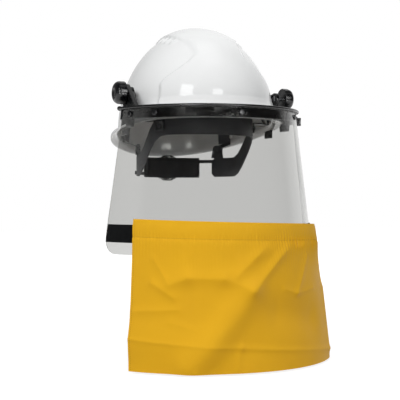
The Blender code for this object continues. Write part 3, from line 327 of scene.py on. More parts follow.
RINGS = 84
BRIM_RINGS = 8
bpy.ops.mesh.primitive_uv_sphere_add(segments=300, ring_count=2 * RINGS, radius=1)
shell = bpy.context.object
shell.name = "shell_moulding"
ring = math.pi / (2 * RINGS)
edit_points(shell, lambda co: math.acos(max(min(co.z, 1), -1)) > math.pi / 2 + (BRIM_RINGS + 0.5) * ring)
bpy.ops.mesh.delete(type="VERT")
end_edit()
for point in shell.data.vertices:
    turn = math.atan2(point.co.x, -point.co.y)
    polar = math.acos(max(min(point.co.z, 1), -1))
    if polar <= math.pi / 2 + ring / 2:
        point.co = dome_at(turn, min(polar, math.pi / 2))
    else:
        point.co = brim_at(turn, (polar - math.pi / 2) / ring / BRIM_RINGS)
finish_piece(shell, [("SOLIDIFY", {"thickness": SHELL_WALL, "offset": -1}),
                     ("BEVEL", {"width": 0.0009, "segments": 3, "limit_method": "ANGLE",
                                "angle_limit": math.radians(55)})])


def block(name, size, middle, facing=None):
    """A box by its size and middle, with its own X turned to face a direction."""
    bpy.ops.object.select_all(action="DESELECT")
    bpy.ops.mesh.primitive_cube_add(size=1)
    piece = bpy.context.object
    piece.name = name
    turn = (facing or Vector((1, 0, 0))).to_track_quat("X", "Z").to_matrix().to_4x4()
    piece.data.transform(Matrix.Translation(middle) @ turn @ Matrix.Diagonal((*size, 1)))
    return piece


def joined(pieces):
    """Joins several objects into the first."""
    bpy.ops.object.select_all(action="DESELECT")
    for piece in pieces:
        piece.select_set(True)
    bpy.context.view_layer.objects.active = pieces[0]
    bpy.ops.object.join()
    return pieces[0]


def cut_away(piece, cutters):
    """Cuts other objects out of a piece, and removes them."""
    for tool in cutters:
        finish_piece(piece, [("BOOLEAN", {"object": tool, "operation": "DIFFERENCE", "solver": "EXACT"})])
        bpy.data.objects.remove(tool)


slots = [block("bracket_slot", (0.0032, 0.0226, 0.03), Vector((side * 0.1179, -0.020, -0.008)))
         for side in (1, -1)]
cut_away(shell, [joined(slots)])
sockets = [shell]
for turn in (62, -62, 125, -125):
    turn = math.radians(turn)
    away = straight_out(turn)
    foot = rim_height(turn) + BRIM_FALL + 0.002
    wall = dome_at(turn, math.acos(0.020 / (DOME.z - foot + 0.002)))
    middle = Vector((wall.x, wall.y, foot)) - away * 0.0041
    socket = block("key_socket", (0.0062, 0.022, 0.018), middle + Vector((0, 0, 0.009)), away)
    cut_away(socket, [block("key_slot", (0.0026, 0.0166, 0.030), middle, away)])
    finish_piece(socket, [("BEVEL", {"width": 0.0006, "segments": 2, "limit_method": "ANGLE"})])
    sockets.append(socket)
shell = joined(sockets)


def finish_material(tree, sockets):
    """Ends a material with a surface of these values and links."""
    surface = add_node(tree, "BsdfPrincipled", sockets)
    add_node(tree, "OutputMaterial", {"Surface": surface.outputs[0]})


def mixed(tree, share, first, second):
    """A colour between two, by a share."""
    return add_node(tree, "Mix", {0: share, 6: first, 7: second}, data_type="RGBA").outputs[2]


def bumped(tree, height, strength, distance):
    """A surface roughened by a pattern of heights."""
    return add_node(tree, "Bump", {"Height": height, "Strength": strength, "Distance": distance}).outputs[0]


def noise(tree, place, scale, detail):
    """A cloudy pattern from 0 to 1, by its scale."""
    return add_node(tree, "TexNoise", {"Vector": place, "Scale": scale, "Detail": detail}).outputs["Fac"]


# Gloss polyethylene: an even white with a faint orange peel, and a little haze where it is handled.
# The peel's waves are about 2.5 mm, the haze comes in patches of 30 mm, and specks of grime are about 1 mm.
gloss_white, tree = new_material("white gloss polyethylene, moulded")
place = add_node(tree, "TexCoord", {}).outputs["Object"]
clouds = noise(tree, place, 33.0, 4.0)
peel = noise(tree, place, 400.0, 1.0)
specks = noise(tree, place, 900.0, 2.0)
white = mixed(tree, clouds, linear("EFF0F0"), linear("EBECEC"))
grime = ranged(tree, specks, 0.0, 0.25, 0.72, 0.80)
white = mixed(tree, grime, white, linear("C9C7C2"))
haze = ranged(tree, clouds, 0.05, 0.10, 0.3, 0.7)
skin = bumped(tree, peel, 0.05, 0.0003)
finish_material(tree, {"Base Color": white, "Roughness": haze, "IOR": 1.51, "Normal": skin})
shell.data.materials.clear()
shell.data.materials.append(gloss_white)
bpy.ops.object.select_all(action="DESELECT")
shell.select_set(True)
bpy.ops.object.shade_smooth_by_angle(angle=math.radians(40))
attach(shell, "shell")
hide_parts("shell")

# Side brackets: black adapters that plug into the brim's slots and follow the dome up to the pivots.
# Glass-filled nylon, injection moulded; each is the CAD solid with its edges rounded as a mould leaves them.


def rounded_copy(node, edge):
    """A welded copy of a CAD piece, with its edges rounded, that stands for it and rides where it rides."""
    solid = frame["nodes"][node]
    piece = bpy.data.objects.new(node + "_finished", solid.data.copy())
    scene.collection.objects.link(piece)
    edit_points(piece, lambda co: True)
    bpy.ops.mesh.remove_doubles(threshold=0.00002)
    bpy.ops.mesh.dissolve_limited(angle_limit=math.radians(1.5))
    end_edit()
    finish_piece(piece, [("BEVEL", {"width": edge, "segments": 3, "limit_method": "ANGLE",
                                    "angle_limit": math.radians(42), "miter_outer": "MITER_ARC"}),
                         ("TRIANGULATE", {})])
    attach(piece, solid["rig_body"])
    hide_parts(node)
    return piece


def dress(piece, material, angle=40):
    """Gives a piece its material, and smooths what isn't a real edge."""
    piece.data.materials.clear()
    piece.data.materials.append(material)
    bpy.ops.object.select_all(action="DESELECT")
    bpy.context.view_layer.objects.active = piece
    piece.select_set(True)
    bpy.ops.object.shade_smooth_by_angle(angle=math.radians(angle))


# Moulded black nylon: a satin black with a cool sheen, a spark-eroded grain of about 0.5 mm,
# and rubbed patches of about 12 mm that shine a little more.
black_nylon, tree = new_material("black nylon, moulded")
place = add_node(tree, "TexCoord", {}).outputs["Object"]
grain = noise(tree, place, 2000.0, 2.0)
rubbed = noise(tree, place, 85.0, 3.0)
tone = mixed(tree, rubbed, linear("08090B"), linear("0E0F11"))
satin = ranged(tree, rubbed, 0.24, 0.28, 0.3, 0.7)
skin = bumped(tree, grain, 0.25, 0.0001)
finish_material(tree, {"Base Color": tone, "Roughness": satin, "IOR": 1.53, "Normal": skin})
for side in ("left", "right"):
    dress(rounded_copy("side_bracket_" + side, 0.0008), black_nylon)

# Pivot bolts and friction washers: a zinc-plated hexagon bolt stands out of each bracket as the hinge,
# and a grey nylon washer on it rubs on the shield's arm and holds the shield where it is put.
# Zinc plate: a cool grey metal, with turned rings of 0.4 mm that break up its shine.
zinc_plate, tree = new_material("zinc-plated steel, turned")
place = add_node(tree, "TexCoord", {}).outputs["Object"]
rings = add_node(tree, "TexWave", {"Vector": place, "Scale": 800.0, "Distortion": 0.6, "Detail": 2.0},
                 bands_direction="X")
bloom = noise(tree, place, 300.0, 3.0)
tone = mixed(tree, bloom, linear("B4B7BB"), linear("C9CBCC"))
polish = ranged(tree, bloom, 0.22, 0.42)
skin = bumped(tree, rings.outputs["Fac"], 0.15, 0.0001)
finish_material(tree, {"Base Color": tone, "Metallic": 1.0, "Roughness": polish, "Normal": skin})

# Moulded grey nylon: dark grey and duller than the black, with the same fine grain.
grey_nylon, tree = new_material("grey nylon, moulded")
place = add_node(tree, "TexCoord", {}).outputs["Object"]
grain = noise(tree, place, 1600.0, 2.0)
rubbed = noise(tree, place, 70.0, 3.0)
tone = mixed(tree, rubbed, linear("343539"), linear("424347"))
satin = ranged(tree, rubbed, 0.40, 0.58)
skin = bumped(tree, grain, 0.3, 0.0001)
finish_material(tree, {"Base Color": tone, "Roughness": satin, "IOR": 1.53, "Normal": skin})
for side in ("left", "right"):
    dress(rounded_copy("pivot_bolt_" + side, 0.0003), zinc_plate)
    dress(rounded_copy("friction_washer_" + side, 0.0003), grey_nylon)

# Carrier band: the black band that stands over the bill and carries the visor, swung on its two arms.
# Moulded in one piece from black nylon, with a rounded lip over the visor's top edge, a ledge towards the
# dome, arms with raised rims, ribbed tabs behind the visor's corners, and sunk pockets round the studs.
BAND_MIDDLE = Vector((0, -0.029, 0))
BAND_END = math.radians(78)
BAND_FACE = 0.1395
SHIELD_SLOPE = 0.024 / 0.203
HINGE = Vector((0, -0.044, 0.038))
ARM_X = 0.1236


def round_band(turn, reach, height):
    """A point by its angle round from the front, its distance from the band's middle, and its height."""
    return BAND_MIDDLE + Vector((reach * math.sin(turn), -reach * math.cos(turn), height))


def swung(name, outline, rounds, start, end, steps):
    """A solid swept by an outline of (distance, height) points about the band's upright axis."""
    bpy.ops.object.select_all(action="DESELECT")
    bpy.ops.mesh.primitive_circle_add(vertices=len(outline), radius=0.1, fill_type="NGON")
    piece = bpy.context.object
    piece.name = name
    for point, (reach, height) in zip(piece.data.vertices, outline):
        point.co = round_band(start, reach, height)
    for radius, chosen in rounds:
        corners = [round_band(start, *outline[i]) for i in chosen]
        edit_points(piece, lambda co: min((co - corner).length for corner in corners) < 0.00001)
        bpy.ops.mesh.bevel(offset=radius, segments=4, affect="VERTICES")
        end_edit()
    edit_points(piece, lambda co: True)
    bpy.ops.mesh.spin(steps=steps, angle=end - start, center=BAND_MIDDLE, axis=(0, 0, -1))
    bpy.ops.mesh.select_all(action="SELECT")
    bpy.ops.mesh.remove_doubles(threshold=0.00001)
    bpy.ops.mesh.normals_make_consistent(inside=False)
    end_edit()
    return piece


low_face = BAND_FACE + SHIELD_SLOPE * 0.0134
section = [(0.1227, 0.013), (0.1365, 0.013), (low_face - 0.003, -0.002), (low_face, -0.002),
           (BAND_FACE, 0.012), (0.1455, 0.012), (0.1455, 0.016), (0.1227, 0.016)]
band = swung("carrier_band_moulding", section, [(0.0016, (5, 6)), (0.0006, (2, 3))], -BAND_END, BAND_END, 150)
pockets = []
for side in (1, -1):
    for turn, width, height in ((52.05, 0.025, 0.0105), (19.0, 0.025, 0.005), (36.5, 0.0013, 0.009),
                                (40.0, 0.0013, 0.009), (64.0, 0.0022, 0.006), (60.5, 0.0045, 0.006)):
        turn = side * math.radians(turn)
        away = round_band(turn, 1, 0) - BAND_MIDDLE
        pocket = block("pocket", (0.0026, width, height), round_band(turn, BAND_FACE + 0.0004, 0.005), away)
        finish_piece(pocket, [("BEVEL", {"width": 0.0005, "segments": 2})])
        pockets.append(pocket)
cut_away(band, [joined(pockets)])

ledge = [(0.1152, 0.0137), (0.128, 0.0137), (0.128, 0.0153), (0.1152, 0.0153)]
band_parts = [band, swung("ledge", ledge, [(0.0006, (0, 3))], -math.radians(70), math.radians(70), 120)]
for side in (1, -1):
    bpy.ops.object.select_all(action="DESELECT")
    bpy.ops.mesh.primitive_cylinder_add(vertices=64, radius=0.013, depth=0.006,
                                        location=(side * ARM_X, HINGE.y, HINGE.z),
                                        rotation=(0, math.pi / 2, 0))
    arm = bpy.context.object
    bpy.ops.object.transform_apply(location=True, rotation=True, scale=True)
    arm = joined([arm, block("arm_foot", (0.006, 0.049, 0.003), Vector((side * ARM_X, -0.0645, 0.0145)))])
    edit_points(arm, lambda co: True)
    bpy.ops.mesh.convex_hull()
    bpy.ops.mesh.dissolve_limited(angle_limit=math.radians(1))
    bpy.ops.mesh.normals_make_consistent(inside=False)
    end_edit()
    edit_points(arm, lambda co: side * co.x > ARM_X + 0.0029)
    bpy.ops.mesh.inset(thickness=0.0024)
    bpy.ops.transform.translate(value=(-side * 0.0014, 0, 0))
    end_edit()
    finish_piece(arm, [("BEVEL", {"width": 0.0007, "segments": 3, "limit_method": "ANGLE",
                                  "angle_limit": math.radians(35)})])
    bpy.ops.object.select_all(action="DESELECT")
    bpy.ops.mesh.primitive_cylinder_add(vertices=32, radius=0.0033, depth=0.02,
                                        location=(side * ARM_X, HINGE.y, HINGE.z),
                                        rotation=(0, math.pi / 2, 0))
    cut_away(arm, [bpy.context.object])
    band_parts.append(arm)

    tab = block("tab", (0.0045, 1, 1), Vector((side * ARM_X, 0, 0)))
    for point in tab.data.vertices:
        front, upper = point.co.y < 0, point.co.z > 0
        point.co.y = (-0.0785 if front else -0.042) if upper else (-0.072 if front else -0.050)
        point.co.z = 0.0145 if upper else -0.0125
    ribs = [block("tab_rib", (0.0016, 0.0018, 0.020), Vector((side * (ARM_X + 0.0027), y, 0.0005)))
            for y in (-0.0695, -0.0645, -0.0595, -0.0545)]
    tab = joined([tab] + ribs)
    finish_piece(tab, [("BEVEL", {"width": 0.0006, "segments": 2, "limit_method": "ANGLE"})])
    band_parts.append(tab)
    bpy.ops.object.select_all(action="DESELECT")
    bpy.ops.mesh.primitive_uv_sphere_add(segments=32, ring_count=16, radius=0.0034,
                                         location=round_band(side * BAND_END, 0.1421, 0.014))
    bulb = bpy.context.object
    bpy.ops.object.transform_apply(location=True, rotation=True, scale=True)
    band_parts.append(bulb)
band = joined(band_parts)
dress(band, black_nylon, 35)
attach(band, "visor_carrier")
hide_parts("carrier_band")

# Visor: a clear polycarbonate sheet 1.2 mm thick, cut flat with rounded lower corners and wider below,
# and bent round the band, which it meets under the lip.
SHEET_TOP = 0.0114
SHEET_RADIUS = 0.1404
SHEET_DROP = 0.203
SHEET_SPREAD = 0.0667


def on_shield(run, height, depth):
    """A point on the bent shield, by its run along the top, its height and its distance outside."""
    reach = SHEET_RADIUS + SHIELD_SLOPE * (SHEET_TOP - height) + depth
    return round_band(run / SHEET_RADIUS, reach, height)


def flat_sheet(name, corners, rounds, across, down):
    """A flat sheet of (run, height) corners, with some rounded, cut into strips so that it can be bent."""
    bpy.ops.object.select_all(action="DESELECT")
    bpy.ops.mesh.primitive_circle_add(vertices=len(corners), radius=0.1, fill_type="NGON")
    piece = bpy.context.object
    piece.name = name
    for point, (run, height) in zip(piece.data.vertices, corners):
        point.co = Vector((run, 0, height))
    for radius, chosen in rounds:
        places = [Vector((corners[i][0], 0, corners[i][1])) for i in chosen]
        edit_points(piece, lambda co: min((co - place).length for place in places) < 0.00001)
        bpy.ops.mesh.bevel(offset=radius, segments=12, affect="VERTICES")
        end_edit()
    left, right = min(run for run, height in corners), max(run for run, height in corners)
    low, high = min(height for run, height in corners), max(height for run, height in corners)
    edit_points(piece, lambda co: True)
    for i in range(1, across):
        bpy.ops.mesh.select_all(action="SELECT")
        bpy.ops.mesh.bisect(plane_co=(left + (right - left) * i / across, 0, 0), plane_no=(1, 0, 0))
    for i in range(1, down):
        bpy.ops.mesh.select_all(action="SELECT")
        bpy.ops.mesh.bisect(plane_co=(0, 0, low + (high - low) * i / down), plane_no=(0, 0, 1))
    end_edit()
    return piece


def bend_round(piece, depth):
    """Bends a flat sheet round the shield, with its middle at a distance outside the visor's middle."""
    for point in piece.data.vertices:
        point.co = on_shield(point.co.x, point.co.z, depth)


half_run = math.radians(75) * SHEET_RADIUS
low_run = half_run * (1 + SHEET_SPREAD)
sheet_low = SHEET_TOP - SHEET_DROP
corners = [(-low_run, sheet_low), (low_run, sheet_low), (half_run, SHEET_TOP), (-half_run, SHEET_TOP)]
visor = flat_sheet("visor_sheet", corners, [(0.026, (0, 1)), (0.006, (2, 3))], 110, 6)
bend_round(visor, 0)
finish_piece(visor, [("SOLIDIFY", {"thickness": 0.0012, "offset": 0, "material_offset_rim": 1})])

# Clear polycarbonate: see-through with a faint grey cast, sharp reflections that waver a little
# over waves of about 60 mm, and a trace of handling haze.
clear_sheet, tree = new_material("clear polycarbonate, extruded sheet")
place = add_node(tree, "TexCoord", {}).outputs["Object"]
waves = noise(tree, place, 16.0, 1.0)
haze = noise(tree, place, 45.0, 4.0)
film = ranged(tree, haze, 0.0, 0.045, 0.35, 0.75)
skin = bumped(tree, waves, 0.04, 0.002)
finish_material(tree, {"Base Color": linear("C6C6C4"), "Roughness": film, "IOR": 1.58,
                       "Transmission Weight": 1.0, "Normal": skin})

# Its cut edge: sawn and broken, so it scatters light and reads as a thin bright line.
cut_edge, tree = new_material("clear polycarbonate, sawn edge")
place = add_node(tree, "TexCoord", {}).outputs["Object"]
teeth = noise(tree, place, 1500.0, 2.0)
skin = bumped(tree, teeth, 0.4, 0.0001)
frost = ranged(tree, teeth, 0.35, 0.6)
finish_material(tree, {"Base Color": linear("F2F4F4"), "Roughness": frost, "IOR": 1.58,
                       "Transmission Weight": 0.35, "Normal": skin})
dress(visor, clear_sheet, 30)
visor.data.materials.append(cut_edge)
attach(visor, "visor_carrier")
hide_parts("visor")

# Visor studs: five black nylon snap studs pushed through the visor into the band, with low domed heads.
# One is modelled and copied to each hole.
STUD_LEVEL = 0.005
STUD_TURNS = {"outer_right": -68, "inner_right": -50, "centre": 0, "inner_left": 50, "outer_left": 68}


def seated(place, away, up="Y"):
    """The move that stands a piece's own +Z along a direction at a place."""
    return Matrix.Translation(place) @ away.to_track_quat("Z", up).to_matrix().to_4x4()


bpy.ops.object.select_all(action="DESELECT")
bpy.ops.mesh.primitive_cylinder_add(vertices=48, radius=0.0042, depth=0.0018, location=(0, 0, 0.0009))
stud = bpy.context.object
bpy.ops.object.transform_apply(location=True, rotation=True, scale=True)
edit_points(stud, lambda co: co.z > 0.001)
bpy.ops.mesh.bevel(offset=0.0012, segments=5, affect="EDGES")
end_edit()
edit_points(stud, lambda co: co.z < 0.00001)
bpy.ops.mesh.inset(thickness=0.0022)
bpy.ops.mesh.extrude_region_move(TRANSFORM_OT_translate={"value": (0, 0, -0.006)})
end_edit()
for name, turn in STUD_TURNS.items():
    turn = math.radians(turn)
    away = round_band(turn, 1, 0) - BAND_MIDDLE
    seat = round_band(turn, SHEET_RADIUS + SHIELD_SLOPE * (SHEET_TOP - STUD_LEVEL) + 0.0012, STUD_LEVEL)
    copy = bpy.data.objects.new("visor_stud_%s_head" % name, stud.data.copy())
    scene.collection.objects.link(copy)
    copy.data.transform(seated(seat, away))
    dress(copy, black_nylon)
    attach(copy, "visor_carrier")
    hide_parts("visor_stud_" + name)
bpy.data.objects.remove(stud)

# End clip: a small hollow black nylon block outside the visor, near the band's end on the wearer's left.
clip_low, clip_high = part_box("end_clip")
clip_turn = math.radians(73)
clip_way = round_band(clip_turn, 1, 0) - BAND_MIDDLE
clip_middle = (clip_low + clip_high) / 2
clip = block("end_clip_block", (0.008, 0.008, 0.012), clip_middle, clip_way)
edit_points(clip, lambda co: (co - clip_middle).dot(clip_way) > 0)
bpy.ops.mesh.inset(thickness=0.0014)
bpy.ops.transform.translate(value=clip_way * -0.0026)
end_edit()
finish_piece(clip, [("BEVEL", {"width": 0.0006, "segments": 3, "limit_method": "ANGLE"})])
dress(clip, black_nylon)
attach(clip, "visor_carrier")
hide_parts("end_clip")

# Hook tape: a strip of black hook tape 25 mm wide, stuck right across the visor near its lower edge.
TAPE_LOW = -0.175
TAPE_HIGH = -0.150


def spread(height):
    """How much wider the visor is cut at a height than along its top."""
    return 1 + SHEET_SPREAD * (SHEET_TOP - height) / SHEET_DROP


tape_end = half_run - 0.003
corners = [(-tape_end * spread(TAPE_LOW), TAPE_LOW), (tape_end * spread(TAPE_LOW), TAPE_LOW),
           (tape_end * spread(TAPE_HIGH), TAPE_HIGH), (-tape_end * spread(TAPE_HIGH), TAPE_HIGH)]
hook_tape = flat_sheet("hook_tape_strip", corners, [(0.001, (0, 1, 2, 3))], 110, 4)
bend_round(hook_tape, 0.0015)
finish_piece(hook_tape, [("SOLIDIFY", {"thickness": 0.0012, "offset": 0})])

# Hook tape: dull black, with rows of stiff hooks 1.2 mm apart that catch specks of light.
black_hooks, tree = new_material("black hook tape, woven nylon")
place = add_node(tree, "TexCoord", {}).outputs["Object"]
hooks = add_node(tree, "TexVoronoi", {"Vector": place, "Scale": 820.0})
lint = noise(tree, place, 240.0, 3.0)
tips = ranged(tree, hooks.outputs["Distance"], 1.0, 0.0, 0.1, 0.45)
tone = mixed(tree, lint, linear("08090A"), linear("151617"))
skin = bumped(tree, tips, 0.7, 0.0006)
finish_material(tree, {"Base Color": tone, "Roughness": 0.95, "Specular IOR Level": 0.15, "Normal": skin})
dress(hook_tape, black_hooks, 30)
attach(hook_tape, "visor_carrier")
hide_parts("hook_tape")

# Bib: a yellow coated cloth cut 382 x 210 mm, whose top edge is folded over an elastic into a casing 24 mm
# deep. A loop tape sewn behind the casing holds it to the visor's tape. The elastic gathers the casing most
# towards the wearer's left, and the cloth below hangs free in soft folds.
BIB_FIRST = math.radians(-57)
BIB_LAST = math.radians(70)
BIB_HEM_FIRST = math.radians(-54)
BIB_HEM = -0.346


def bib_top(turn):
    """The height of the bib's top edge, which dips towards the wearer's left."""
    return -0.142 - 0.010 * (turn - BIB_FIRST) / (BIB_LAST - BIB_FIRST)


def under_strip(name, drop, width, depth, thickness):
    """A strip behind the bib, a drop below its top edge."""
    first, last = BIB_FIRST * SHEET_RADIUS, BIB_LAST * SHEET_RADIUS
    tops = (bib_top(BIB_FIRST) - drop, bib_top(BIB_LAST) - drop)
    corners = [(first, tops[0] - width), (last, tops[1] - width), (last, tops[1]), (first, tops[0])]
    strip = flat_sheet(name, corners, [(0.0008, (0, 1, 2, 3))], 90, 3)
    bend_round(strip, depth)
    finish_piece(strip, [("SOLIDIFY", {"thickness": thickness, "offset": 0})])
    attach(strip, "visor_carrier")
    return strip


loop_tape = under_strip("loop_tape_strip", 0.008, 0.0235, 0.0030, 0.0012)
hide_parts("loop_tape")
flap = under_strip("casing_flap_cloth", 0.0, 0.028, 0.0044, 0.0010)
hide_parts("casing_flap")
elastic = under_strip("casing_elastic", 0.004, 0.020, 0.0057, 0.0010)
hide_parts("bib_elastic")

# Loop tape: black brushed pile, soft and matt, with tufts about 1 mm across.
black_pile, tree = new_material("black loop tape, brushed nylon")
place = add_node(tree, "TexCoord", {}).outputs["Object"]
tufts = noise(tree, place, 1000.0, 4.0)
tone = mixed(tree, tufts, linear("060606"), linear("1B1B1C"))
skin = bumped(tree, tufts, 0.8, 0.0008)
finish_material(tree, {"Base Color": tone, "Roughness": 0.95, "IOR": 1.53, "Normal": skin})
dress(loop_tape, black_pile, 30)

# Elastic: off-white woven rubber, ribbed along its length every 3 mm.
white_elastic, tree = new_material("white elastic, woven")
place = add_node(tree, "TexCoord", {}).outputs["Object"]
cords = add_node(tree, "TexWave", {"Vector": place, "Scale": 105.0, "Distortion": 0.4, "Detail": 1.0},
                 bands_direction="Z")
threads = noise(tree, place, 1300.0, 2.0)
tone = mixed(tree, threads, linear("D6D4CC"), linear("E6E4DE"))
skin = bumped(tree, cords.outputs["Fac"], 0.6, 0.0004)
finish_material(tree, {"Base Color": tone, "Roughness": 0.85, "Normal": skin})
dress(elastic, white_elastic, 30)

CASING = 0.024
BIB_REACH = 0.0074
FOLD_RADIUS = 180
BROAD_FOLD = 20
# Folds, given in degrees round and mm: where each ridge starts and ends, its half width and its
# rise, which is negative for a hollow.
FOLDS = (
    ((10, -172), (-7, -216), 9, 4.0),
    ((21, -178), (-1, -238), 8, 4.0),
    ((-1, -238), (-27, -338), 20, 8.5),
    ((-37, -229), (-29, -220), 10, 3.4),
    ((-29, -220), (-13, -221), 10, 3.4),
    ((-13, -221), (-2, -236), 10, 3.4),
    ((-45, -195), (-39, -220), 5, 1.2),
    ((-45, -227), (-35, -246), 6, 2.0),
    ((17, -238), (25, -245), 4, 1.3),
    ((25, -245), (40, -240), 4, 1.3),
    ((36, -194), (26, -241), 6, 1.6),
    ((14, -270), (35, -282), 24, -6.0),
    ((57, -245), (55, -330), 12, 3.0),
    ((-53, -266), (-33, -262), 6, 1.6),
    ((-36, -279), (-26, -288), 6, 1.0),
    ((-52, -305), (-20, -312), 24, 4.0),
    ((-54, -303), (-6, -313), 3.6, 1.3),
    ((-6, -313), (61, -334), 3.8, 1.4),
    ((-7, -313), (-8, -341), 4, 1.0))


def fold_rise(turn, height):
    """How far the folds lift the cloth at a place; narrow ones have sharper ridges than broad ones."""
    spot = Vector((turn * FOLD_RADIUS, height * 1000))
    rise = 0.0
    for (first_turn, first_height), (last_turn, last_height), width, lift in FOLDS:
        start = Vector((math.radians(first_turn) * FOLD_RADIUS, first_height))
        line = Vector((math.radians(last_turn) * FOLD_RADIUS, last_height)) - start
        share = min(max((spot - start).dot(line) / line.length_squared, 0.0), 1.0)
        off = (spot - start - line * share).length / width
        crisp = 0.7 if width < BROAD_FOLD else 1.0
        rise += lift * math.exp(-(off * off + 0.01) ** crisp)
    return rise / 1000


def on_bib(across, down):
    """A point of the cloth, by its share across from the wearer's right and its drop below the top."""
    turn = BIB_FIRST + (BIB_LAST - BIB_FIRST) * across
    share = down / (bib_top(turn) - BIB_HEM)
    height = bib_top(turn) - down
    turn += (BIB_HEM_FIRST - BIB_FIRST) * share * (1 - across)
    gather = 0.25 + 0.75 * eased(0.45, 0.72, across)
    pucker = 0.5 + 0.5 * math.sin(across * 520 + 2.2 * math.sin(across * 47))
    at_seam = math.exp(-((down - CASING) / (0.006 if down < CASING else 0.013)) ** 2)
    depth = BIB_REACH + 0.0021 * gather * pucker * (0.35 + 0.65 * at_seam) * eased(0.085, 0.03, down)
    if down < CASING:
        depth += 0.0012 * math.sin(math.pi * down / CASING)
    else:
        depth += 0.0006 * eased(0.0, 0.004, down - CASING) * eased(0.030, 0.006, down - CASING)
        depth += fold_rise(turn, height) * eased(0.0, 0.022, down - CASING)
    hem = 0.0005 * eased(0.966, 0.9675, across)
    return round_band(turn, SHEET_RADIUS + SHIELD_SLOPE * (SHEET_TOP - height) + depth + hem, height)


bpy.ops.object.select_all(action="DESELECT")
bpy.ops.mesh.primitive_grid_add(x_subdivisions=330, y_subdivisions=150, size=1)
bib = bpy.context.object
bib.name = "bib_cloth"
for point in bib.data.vertices:
    across, down = point.co.x + 0.5, 0.5 - point.co.y
    drop = bib_top(BIB_FIRST + (BIB_LAST - BIB_FIRST) * across) - BIB_HEM
    point.co = on_bib(across, down * drop)
edit_points(bib, lambda co: True)
bpy.ops.mesh.normals_make_consistent(inside=False)
end_edit()
finish_piece(bib, [("SOLIDIFY", {"thickness": 0.0009, "offset": 0})])

# Coated cloth: a strong yellow with a soft shine, a plain weave drawn at 1.3 mm so that it shows, painted
# paler where the threads stand up as a painted highlight on their tops, and lockstitches 2 mm long every 3 mm
# along the casing and the side hems.
# Its map is in mm: along from the wearer's right, and down from the top edge.
CLOTH_RUN = 382.0
CLOTH_FALL = 204.0
yellow_cloth, tree = new_material("yellow cloth, coated polyester")
flat = add_node(tree, "SeparateXYZ", {0: add_node(tree, "TexCoord", {}).outputs["UV"]})
along = worked(tree, "MULTIPLY", flat.outputs["X"], CLOTH_RUN)
fall = worked(tree, "MULTIPLY_ADD", flat.outputs["Y"], -CLOTH_FALL, CLOTH_FALL)
place = add_node(tree, "CombineXYZ", {"X": along, "Y": fall})
yarns = {"Vector": place.outputs[0], "Scale": 0.242, "Distortion": 0.5, "Detail": 1.0}
warp = add_node(tree, "TexWave", yarns, bands_direction="X")
weft = add_node(tree, "TexWave", yarns, bands_direction="Y")
weave = worked(tree, "MULTIPLY", warp.outputs["Fac"], weft.outputs["Fac"])
clouds = noise(tree, place.outputs[0], 0.03, 4.0)
below_seam = worked(tree, "COMPARE", fall, 24.0, 0.45)
dash = worked(tree, "MODULO", along, 3.0)
dash = worked(tree, "LESS_THAN", dash, 2.0)
seam = worked(tree, "MULTIPLY", below_seam, dash)
left_hem = worked(tree, "COMPARE", along, 370.5, 0.45)
right_hem = worked(tree, "COMPARE", along, 3.0, 0.45)
hems = worked(tree, "MAXIMUM", left_hem, right_hem)
dash = worked(tree, "MODULO", fall, 3.0)
dash = worked(tree, "LESS_THAN", dash, 2.0)
hems = worked(tree, "MULTIPLY", hems, dash)
stitches = worked(tree, "MAXIMUM", seam, hems)
tone = mixed(tree, clouds, linear("E1A716"), linear("EAB11A"))
# The thread tops are painted paler: a painted highlight on the weave.
tone = mixed(tree, weave, tone, linear("EDB722"))
tone = mixed(tree, stitches, tone, linear("CC961C"))
relief = worked(tree, "MULTIPLY_ADD", stitches, 0.8, weave)
satin = ranged(tree, clouds, 0.46, 0.62)
skin = bumped(tree, relief, 0.22, 0.0003)
finish_material(tree, {"Base Color": tone, "Roughness": satin,
                       "Specular IOR Level": 0.2, "Sheen Weight": 0.03, "Normal": skin})
dress(bib, yellow_cloth, 60)
dress(flap, yellow_cloth, 30)
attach(bib, "visor_carrier")
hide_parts("bib_panel")
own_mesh(bib)

# Tension knobs: fluted black nylon knobs screwed on the pivot bolts outside the arms, with domed ends.
# Turned up as a lathe would from half a profile, then fluted lightly ten times round.


def turned(name, outline, steps):
    """A solid turned about +Z from an outline of (radius, height) points that starts and ends on the axis."""
    bpy.ops.object.select_all(action="DESELECT")
    bpy.ops.mesh.primitive_circle_add(vertices=len(outline), radius=0.1, fill_type="NOTHING")
    piece = bpy.context.object
    piece.name = name
    for point, (radius, height) in zip(piece.data.vertices, outline):
        point.co = Vector((radius, 0, height))
    edit_points(piece, lambda co: True)
    bpy.ops.mesh.spin(steps=steps, angle=2 * math.pi, center=(0, 0, 0), axis=(0, 0, 1))
    bpy.ops.mesh.select_all(action="SELECT")
    bpy.ops.mesh.remove_doubles(threshold=0.000005)
    bpy.ops.mesh.dissolve_degenerate()
    bpy.ops.mesh.normals_make_consistent(inside=False)
    end_edit()
    return piece


def arc(centre, radius, start, end, count):
    """Points round part of a circle, in degrees."""
    turns = [math.radians(start + (end - start) * i / count) for i in range(count + 1)]
    return [(centre[0] + radius * math.cos(turn), centre[1] + radius * math.sin(turn)) for turn in turns]


def fluted(piece, radius, depth, count, low, high):
    """Presses flutes into a turned piece's side, fading out towards its ends and its middle."""
    for point in piece.data.vertices:
        reach = math.hypot(point.co.x, point.co.y)
        wave = (0.5 + 0.5 * math.cos(count * math.atan2(point.co.y, point.co.x))) ** 2
        fade = eased(0.55 * radius, 0.9 * radius, reach) * eased(low, low + 0.001, point.co.z)
        fade *= eased(high, high - 0.006, point.co.z)
        scale = 1 - depth / radius * wave * fade
        point.co.x *= scale
        point.co.y *= scale


